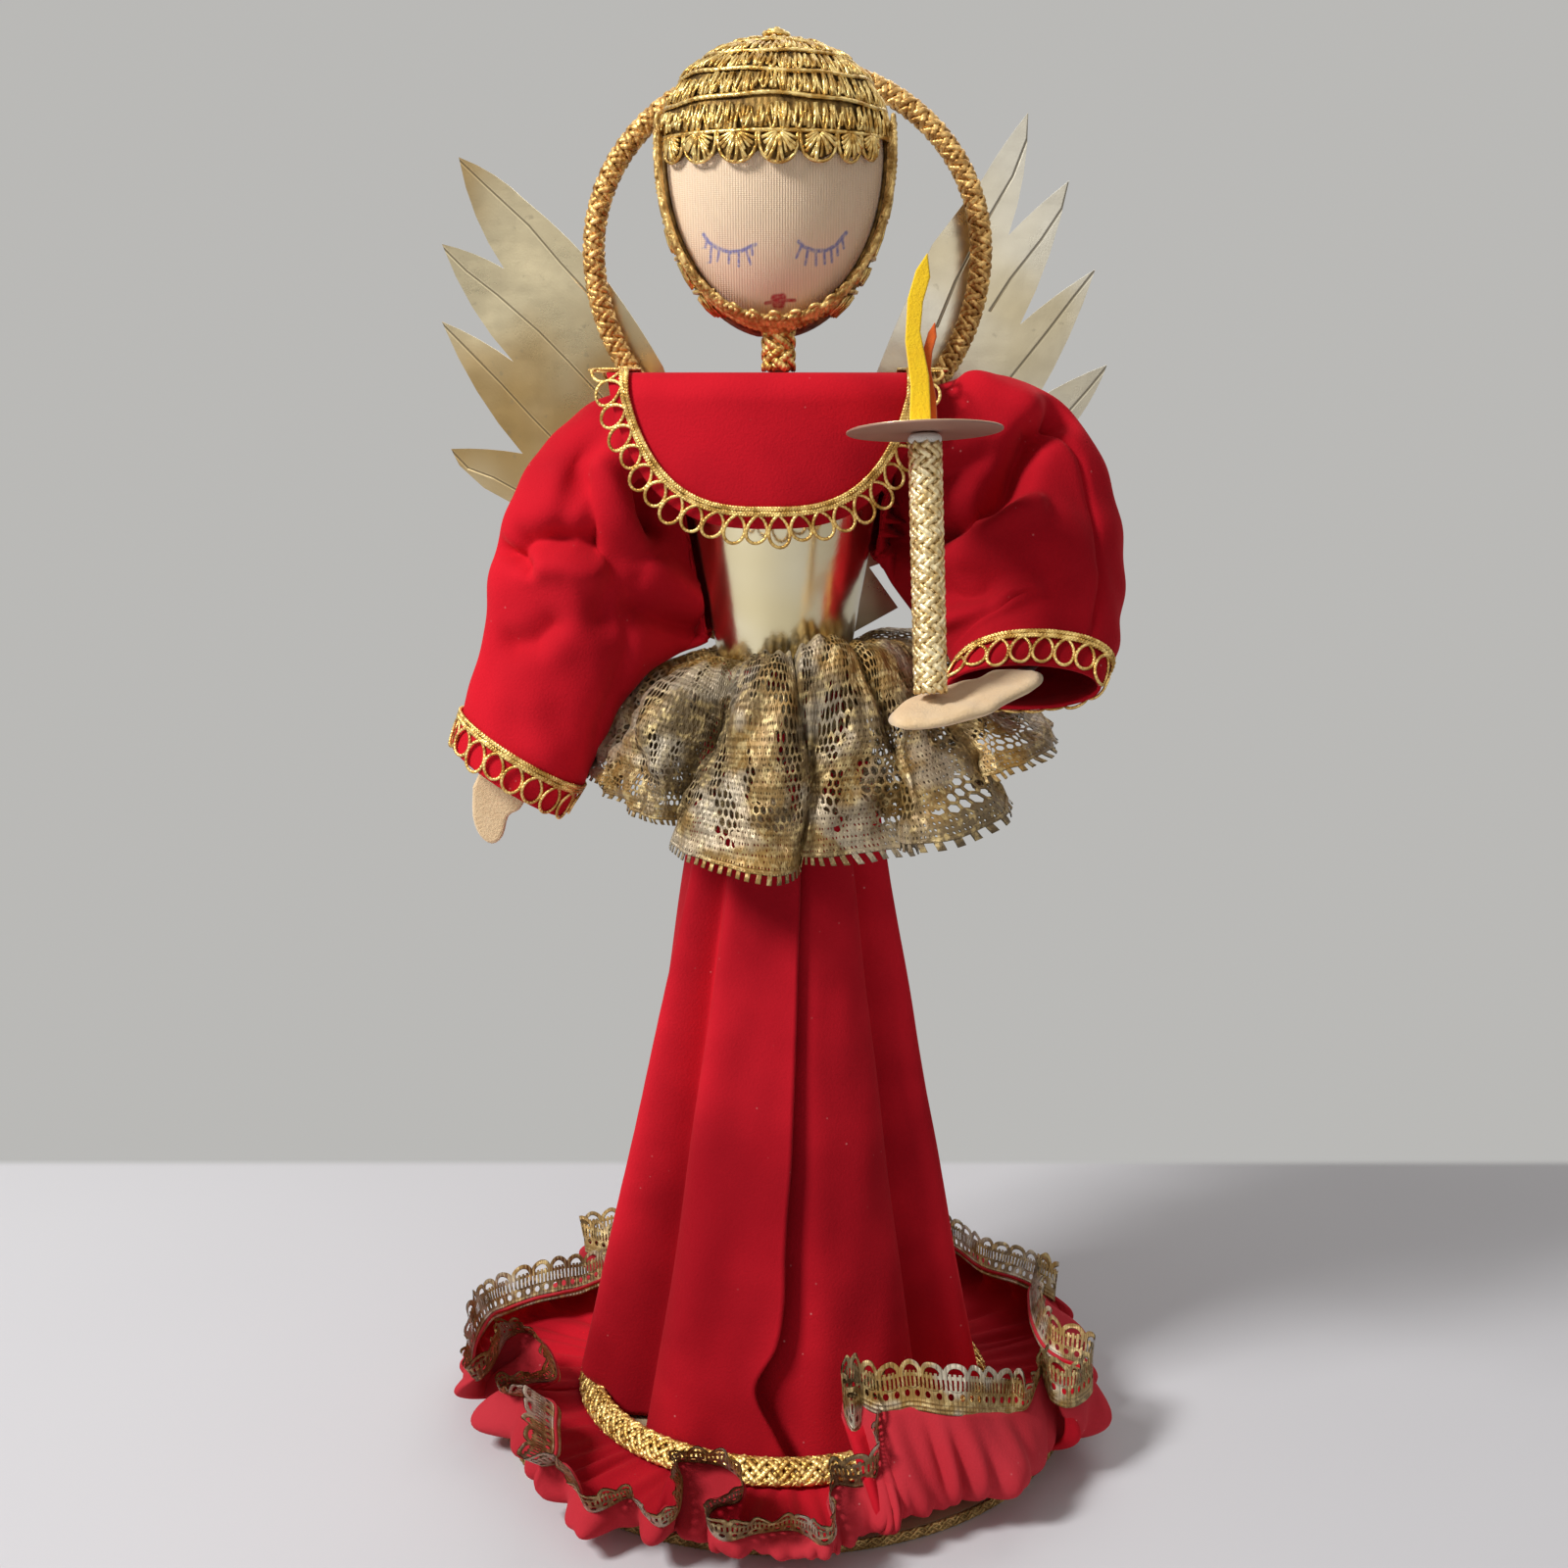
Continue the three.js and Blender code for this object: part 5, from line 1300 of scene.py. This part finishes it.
def on_head(azimuth, run, lift):
    """Places on the hair by angle, length along the profile up from the widest place, and lift."""
    wide, high = profile(run)
    out, lifted = (np.interp(run, PROFILE_RUN, np.gradient(row, PROFILE_RUN))
                   for row in (PROFILE_HIGH, -PROFILE_WIDE))
    place = around(wide + lift * out, azimuth, high + lift * lifted) + vec(*HEAD_AT, 0)
    return place, unit(around(out, azimuth, lifted))


def run_at(height):
    return np.interp(height, PROFILE_HIGH, PROFILE_RUN)


# The face's ink from the front, as (x, z) from the head's middle: lids, lashes by their two ends,
# the mouth's line and the fuller part of the lip
LEFT_LID = ((-18.96, -19.2), (-17.51, -21.35), (-14.95, -22.95), (-12.09, -23.94), (-8.91, -23.72),
            (-6.37, -22.59), (-5.12, -22.19))
RIGHT_LID = ((6.25, -21.41), (7.7, -22.74), (10.54, -23.69), (13.71, -23.41), (16.26, -22.01),
             (17.83, -20.03), (18.91, -18.79))
LASHES = ((-18.14, -20.43, -18.53, -22.48), (-16.88, -22.27, -17.33, -26.22),
          (-14.77, -23.25, -15.35, -25.9), (-12.09, -24.23, -12.27, -26.6),
          (-9.55, -24.01, -9.6, -27.44), (-7.64, -23.45, -6.43, -27.02),
          (-6.06, -22.59, -5.89, -24.66), (7.07, -22.28, 5.64, -25.37),
          (8.65, -23.73, 8.05, -27.11), (10.86, -23.97, 10.9, -27.23),
          (13.08, -23.79, 13.26, -26.75), (14.86, -22.95, 15.18, -26.2),
          (16.58, -21.99, 16.69, -24.47), (17.84, -20.45, 18.34, -22.61))
LIPS = ((-2.54, -36.9), (-0.17, -36.48), (2.38, -36.12), (5.25, -36.15))
LIP_FULL = ((-0.1, -35.7), (2.0, -35.4), (1.6, -37.2), (0.2, -37.2), (-0.1, -35.7))


def strokes(x, z, path, width):
    """How much ink lies at a place: full within a stroke of this width and fading beside it."""
    return 1 - ease((from_line(x, z, path) - width * 0.35) / (width * 0.45))


def crowded(ends, zone, count, inside):
    """Steps from one end to the other, most of them within a zone."""
    left = int((count - inside) * (zone[0] - ends[0]) / (zone[0] - ends[0] + ends[1] - zone[1]))
    return np.concatenate([np.linspace(ends[0], zone[0], left, endpoint=False),
                           np.linspace(*zone, inside, endpoint=False),
                           np.linspace(zone[1], ends[1], count - inside - left)])


face_u, face_v = np.meshgrid(crowded((-np.pi, np.pi), (-0.8, 0.8), 231, 170),
                             crowded((-1.5, 1.5), (-1.02, -0.38), 141, 86))
face_wide, face_high = egg(2.5, face_v)
face_points = around(face_wide, face_u, face_high) + vec(*HEAD_AT, 0)
face = make("jersey_face", "head", (cloth(face_points, JERSEY), face_jersey),
            stands_for=["face_cover"], slot="flesh_jersey")
corners = np.empty(len(face.data.vertices) * 3, np.float32)
face.data.vertices.foreach_get("co", corners)
x, y, z = corners.reshape(-1, 3).T / MM - np.array([[HEAD_AT[0]], [HEAD_AT[1]], [HEAD]])
blue = np.maximum(strokes(x, z, LEFT_LID, 0.8), strokes(x, z, RIGHT_LID, 0.8))
for ax, az, bx, bz in LASHES:
    blue = np.maximum(blue, strokes(x, z, ((ax, az), (bx, bz)), 0.6))
red = np.maximum(strokes(x, z, LIPS, 0.8), strokes(x, z, LIP_FULL, 1.8))
ink = np.stack([blue, red, 0 * blue, 0 * blue + 1], -1) * (y < 0)[:, None]
face.data.attributes.new("ink", "FLOAT_COLOR", "POINT").data.foreach_set(
    "color", ink.astype(np.float32).ravel())

# The face opening lies in planes that lean forward, each by how far ahead it stands at the hair
# line and at the chin. The hair ends at the first, the jaw braid's middle line follows the second,
# and the third lies behind it.
HAIR_LINE, HAIR_FOOT = 371.0, 321.5
HAIR_PLANE, JAW_PLANE, JAW_BACK = (9.4, 14.4), (11.6, 15.6), (9.0, 13.0)


def braid_ahead(height, at_top, at_chin):
    """How far ahead of the head's middle a plane stands that leans forward towards the chin."""
    return mix(at_top, at_chin, (HAIR_LINE - height) / (HAIR_LINE - HAIR_FOOT))


def opening(run):
    """The angle from the front at which the hair starts: behind the plane of the face opening,
    and none above the hair line."""
    wide, high = profile(run)
    ahead = braid_ahead(high, *HAIR_PLANE)
    return np.where(high < HAIR_LINE - 0.05, np.arccos(np.clip(ahead / wide, 0, 1)), 0.0)


def hair_ground_part(low, high, rows, wrap):
    """The cloth that the gimp is sewn to, between two lengths along the profile."""
    share, run = cells((0, 1), (low, high), 160, rows)
    start = opening(run)
    return cloth(on_head(mix(start, TAU - start, share), run, -1.5)[0], 0.9, wrap=wrap)


def waver(azimuth, run):
    """How far a row of gimp strays up or down from a level ring, nothing at the hair line."""
    return (1.1 * np.sin(azimuth + 1.2 + run * 0.05) + 0.5 * np.sin(3 * azimuth + run)
            + 0.25 * np.sin(9 * azimuth + run)) * ease((run - line_run) / 8)


def zigzag(low, high, start, stop, pitch, lift, closed, shift=0.0):
    """A thread that runs to and fro between two edges of a row of gimp."""
    wide, _ = profile((low + high) / 2)
    count = max(round((stop - start) * wide / pitch), 8)
    n = count * 6
    t = np.arange(n) / n if closed else np.linspace(0, 1, n)
    turn = TAU * count * t + shift
    swing = np.sin(turn) * (1 + 0.25 * np.cos(2 * turn))
    azimuth = mix(start, stop, t)
    swing = swing * (1 + 0.22 * ripple(51, np.cos(azimuth) * 9, np.sin(azimuth) * 9, low + shift))
    run = mix(low, high, 0.5 + 0.46 * swing) + waver(azimuth, low)
    place, away = on_head(azimuth + 0.02 * np.sin(turn * 0.37), run,
                          lift + 0.3 * np.cos(turn) + 0.25 * np.sin(azimuth * 11 + low))
    return place, away, closed


def edge_cord(run, start, stop, lift, closed):
    """A cord along the edge of a row of gimp."""
    wide, _ = profile(run)
    n = max(int((stop - start) * wide / 1.2), 12)
    t = np.arange(n) / n if closed else np.linspace(0, 1, n)
    azimuth = mix(start, stop, t)
    place, away = on_head(azimuth, run + waver(azimuth, run), lift)
    return place, away, closed


top_run, line_run = PROFILE_RUN[-1], run_at(HAIR_LINE)
# Rows of gimp above and below the hair line, the topmost cut short at the crown
TOP_ROWS, LOW_ROWS, LOWEST = 6, 5, 324.0
row_high = (top_run - line_run) / (TOP_ROWS - 0.6)
fine, cords = [], []
for row in range(TOP_ROWS):
    low, high = line_run + row * row_high, min(line_run + (row + 1) * row_high, top_run - 0.5)
    fine.append(zigzag(low, high, 0, TAU, 1.7, -0.55, True))
    fine.append(zigzag(low, mix(low, high, 0.62), 0, TAU, 2.3, -0.25, True, 1.0))
    cords.append(edge_cord(low, 0, TAU, -0.35, True))
for row in range(LOW_ROWS):
    high, low = (mix(line_run, run_at(LOWEST), edge / LOW_ROWS) - 0.3 for edge in (row, row + 1))
    start = float(opening(np.array((low + high) / 2))) + 0.03
    fine.append(zigzag(low, high, start, TAU - start, 2.1, -0.55, False))
    cords.append(edge_cord(high, start, TAU - start, -0.35, False))
make("gimp_hair", "head",
     (join([hair_ground_part(line_run, top_run, 24, True),
            hair_ground_part(PROFILE_RUN[0] + 3, line_run - 0.1, 30, False)]), hair_ground),
     (join([threads(fine, 0.95, 0.75, 4), threads(cords, 1.3, 1.1, 5)]), hair_thread),
     stands_for=["hair_cap"], slot="gold_braid")

# The fringe: the angles between which its fans lie, and how far each hangs down
FANS = (-1.17, -0.84, -0.485, -0.136, 0.198, 0.53, 0.783, 1.02)
FAN_DROPS = (6.6, 7.2, 7.6, 7.8, 7.4, 7.2, 6.2)
SPOKES = 15
fan_foot = line_run - 0.2
lobes = []
arc = np.linspace(0, np.pi, 20)
spoke = np.linspace(0.12, 0.9, 9)
for low, high, drop in zip(FANS[:-1], FANS[1:], FAN_DROPS):
    middle, half = (low + high) / 2, (high - low) / 2 * 0.94
    for share in (1.0, 0.16):
        lobes.append((*on_head(middle - half * share * np.cos(arc),
                               fan_foot - drop * share * np.sin(arc) ** 0.6,
                               -0.3 + 0 * arc), False))
    for k in range(SPOKES):
        turn = np.pi * (k + 0.5) / SPOKES
        reach = spoke * (1.0 + 0.13 * np.sin(7 * k + 20 * low))
        astray = turn + 0.25 * np.sin(5 * k + 30 * low + 2 * spoke)
        lobes.append((*on_head(middle - half * reach * np.cos(astray),
                               fan_foot - drop * reach * np.sin(turn) ** 0.6,
                               -0.1 + 0.45 * np.sin(np.pi * spoke) + 0.2 * np.sin(3 * k)), False))
fan_u, fan_v = cells((FANS[0] + 0.04, FANS[-1] - 0.04), (0, 1), 120, 10)
within = np.interp(fan_u, FANS, np.arange(len(FANS))) % 1
scallop = (np.interp(fan_u, FANS, (*FAN_DROPS, FAN_DROPS[-1]))
           * (0.6 + 0.34 * np.sin(np.pi * within)))
fringe_base = on_head(fan_u, fan_foot - scallop * fan_v, -1.5)[0]
make("gimp_fringe", "head", (cloth(fringe_base, 0.5, wrap=False), hair_ground),
     (threads(lobes, 1.0, 0.9, 5), hair_thread), stands_for=["hair_fringe"], slot="gold_braid")


def jaw_line(at_top, at_chin, lift):
    """Where the head meets a plane that leans forward towards the chin, from ear to ear."""
    height = np.linspace(319, 372, 400)
    wide = np.interp(height, PROFILE_HIGH, PROFILE_WIDE)
    plane = braid_ahead(height, at_top, at_chin)
    turns = np.linspace(-1.28, 1.28, 160)
    meets = [np.interp(0, wide * np.cos(turn) - plane, height) for turn in turns]
    return on_head(turns, run_at(np.array(meets)), lift)


jaw_at, jaw_away = jaw_line(*JAW_PLANE, 1.0)
jaw = Band(jaw_at, jaw_line(*JAW_BACK, 1.0)[0], jaw_away, False)
make("jaw_braid", "head",
     (threads(flat_plait(jaw, 1.6, 1.4, 5.2, 0.45, 0.0, 0.5), 1.6, 1.2), jaw_thread),
     (threads(flat_plait(jaw, -1.5, 1.7, 4.4, 0.5, 0.2, 0.5), 1.7, 1.3), jaw_thread),
     (threads(loops(jaw, -2.0, -4.9, 4.6, 1.9, 0.1, 16), 1.4, 1.1, 5), jaw_thread),
     stands_for=["face_braid"], slot="gold_braid")

curl = np.linspace(0, 2.3 * TAU, 90)
curl_reach = 0.6 + 3.0 * curl / curl[-1]
curl_line = vec(HEAD_AT[0] + curl_reach * np.sin(curl), HEAD_AT[1] - curl_reach * np.cos(curl),
                HEAD + 33.9 + 1.5 * (1 - curl / curl[-1]))
make("crown_curl", "head",
     (threads([(curl_line, vec(0 * curl, 0, 1), False)], 1.5, 1.6), hair_thread),
     stands_for=["hair_knot"], slot="gold_braid")

up = np.linspace(SHOULDER + 0.8, 326.0, 20)
neck = upright_band(*NECK_AT, up)
make("neck_plait", "head", (threads(plait(neck, 4.0, 6, 20.0, 0.35, 0.6), 2.2, 1.1), gold_thread),
     (pipe(2.9, 3.9, 310.4, 326, at=NECK_AT), cord_ground),
     stands_for=["neck_braid"], slot="gold_braid")

# Halo
HALO_UP, HALO_WIDE, HALO_ABOVE, HALO_BELOW = 34.4, 56.6, 51.7, 59.0
HALO_LEAN, HALO_GAP = 0.03, 5
halo_foot = SHOULDER + HALO_UP - HALO_BELOW
halo_deep = (YOKE_DEPTH - BODICE_FLARE * (BODICE_TOP - halo_foot) + YOKE_HALF + SEAT
             + HALO_CORD)
gap = HALO_GAP / (2 * HALO_WIDE)
halo_turn = -np.pi / 2 - np.linspace(gap, TAU - gap, 500)
halo_face = vec(0 * halo_turn, -1, HALO_LEAN)


def hoop(scale):
    """The halo's line: a lower half that is longer than the upper one, leaning back."""
    high = np.where(np.sin(halo_turn) > 0, HALO_ABOVE, HALO_BELOW)
    rise = np.sin(halo_turn) * high * scale
    return vec(1 + HALO_WIDE * scale * np.cos(halo_turn),
               halo_deep + HALO_LEAN * (rise + HALO_BELOW), SHOULDER + HALO_UP + rise)


halo = Band(hoop(1.0), hoop(1.02), halo_face, False)
core_line = [(hoop(1.0)[::3], halo_face[::3], False)]
make("halo_plait", "root",
     (threads(plait(halo, 2.6, 4, 9.2, 0.36, 0.7), 1.95, 1.05), halo_thread),
     (threads(core_line, 4.8, 4.8, 10), cord_ground), stands_for=["halo"], slot="gold_braid")

# Wings. A vein is a line of places across and up from the wing's root, as shares of its length.
WING, WING_SWEEP = 155.0, 0.1
RIGHT_VEINS = (((0.441, 0.909), (0.398, 0.851), (0.332, 0.765), (0.285, 0.686), (0.237, 0.612)),
               ((0.508, 0.758), (0.471, 0.706), (0.42, 0.651), (0.352, 0.568), (0.303, 0.498),
                (0.246, 0.411)),
               ((0.54, 0.618), (0.494, 0.553), (0.445, 0.483), (0.396, 0.408), (0.363, 0.36)),
               ((0.573, 0.377), (0.546, 0.338), (0.498, 0.311), (0.447, 0.271)))
LEFT_VEINS = (((0.44, 0.895), (0.438, 0.852), (0.412, 0.784), (0.362, 0.701), (0.303, 0.588),
               (0.268, 0.504)),
              ((0.522, 0.773), (0.511, 0.727), (0.471, 0.668), (0.411, 0.594), (0.371, 0.534)),
              ((0.577, 0.609), (0.537, 0.56), (0.486, 0.495), (0.411, 0.404)),
              ((0.609, 0.43), (0.574, 0.389), (0.533, 0.344)))


def sliced(work, box):
    """Cuts a mesh into a grid of columns and rows, so that it can bend."""
    for axis in (0, 2):
        for cut in np.arange(box[0][axis] + 0.004, box[1][axis], 0.005):
            normal, place = [0, 0, 0], [0, 0, 0]
            normal[axis], place[axis] = 1, cut
            bmesh.ops.bisect_plane(work, geom=work.verts[:] + work.edges[:] + work.faces[:],
                                   plane_co=place, plane_no=normal)


def wing(word, side, turn, nearer, veins):
    """The card wing, cut into a fine grid, bent a little back towards its tips."""
    node = f"{word}_wing"
    # The two wings get different foil colours as painted reflection: the right wing is painted
    # warmer and browner for the red sleeve and brown surroundings that it mirrors, the left paler
    # and more silver.
    pale, warm = (((0.84, 0.72, 0.46), (0.6, 0.4, 0.16)) if side < 0
                  else ((0.82, 0.77, 0.64), (0.66, 0.56, 0.36)))
    scored = [[(WING * MM * a, WING * MM * b) for a, b in ends]
              for line in veins for ends in zip(line[:-1], line[1:])]
    data = copied(node, foil(f"{word}_wing_foil", pale, warm, scored),
                  lambda work: sliced(work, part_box(node)))
    corners = np.empty(len(data.vertices) * 3)
    data.vertices.foreach_get("co", corners)
    points = corners.reshape(-1, 3)
    depth = halo_deep + HALO_CORD + SEAT - 13 * np.sin(WING_SWEEP) - nearer
    local = points / MM - (side * 4, depth, WAIST + 16)
    sweep, roll = side * WING_SWEEP, side * turn
    x = np.cos(sweep) * local[:, 0] + np.sin(sweep) * local[:, 1]
    across = side * (np.cos(roll) * x - np.sin(roll) * local[:, 2])
    up = np.sin(roll) * x + np.cos(roll) * local[:, 2]
    bend = (3.0 * (np.maximum(across - 20, 0) / 60) ** 2
            + 1.2 * np.sin(up / 21 + across / 30) * ease(across / 60))
    points[:, 1] += bend * MM
    data.vertices.foreach_set("co", points.ravel())
    which = np.empty(len(data.loops), np.int32)
    data.loops.foreach_get("vertex_index", which)
    flat = np.stack([across, up], -1)[which] * MM
    (data.uv_layers.active or data.uv_layers.new(name="UVMap")).uv.foreach_set(
        "vector", flat.astype(np.float32).ravel())
    return dress(linked(f"{word}_foil_wing", data), "root", [node])


wing("right", -1, 0.18, 1.0, RIGHT_VEINS)
wing("left", 1, 0.0, 0.0, LEFT_VEINS)
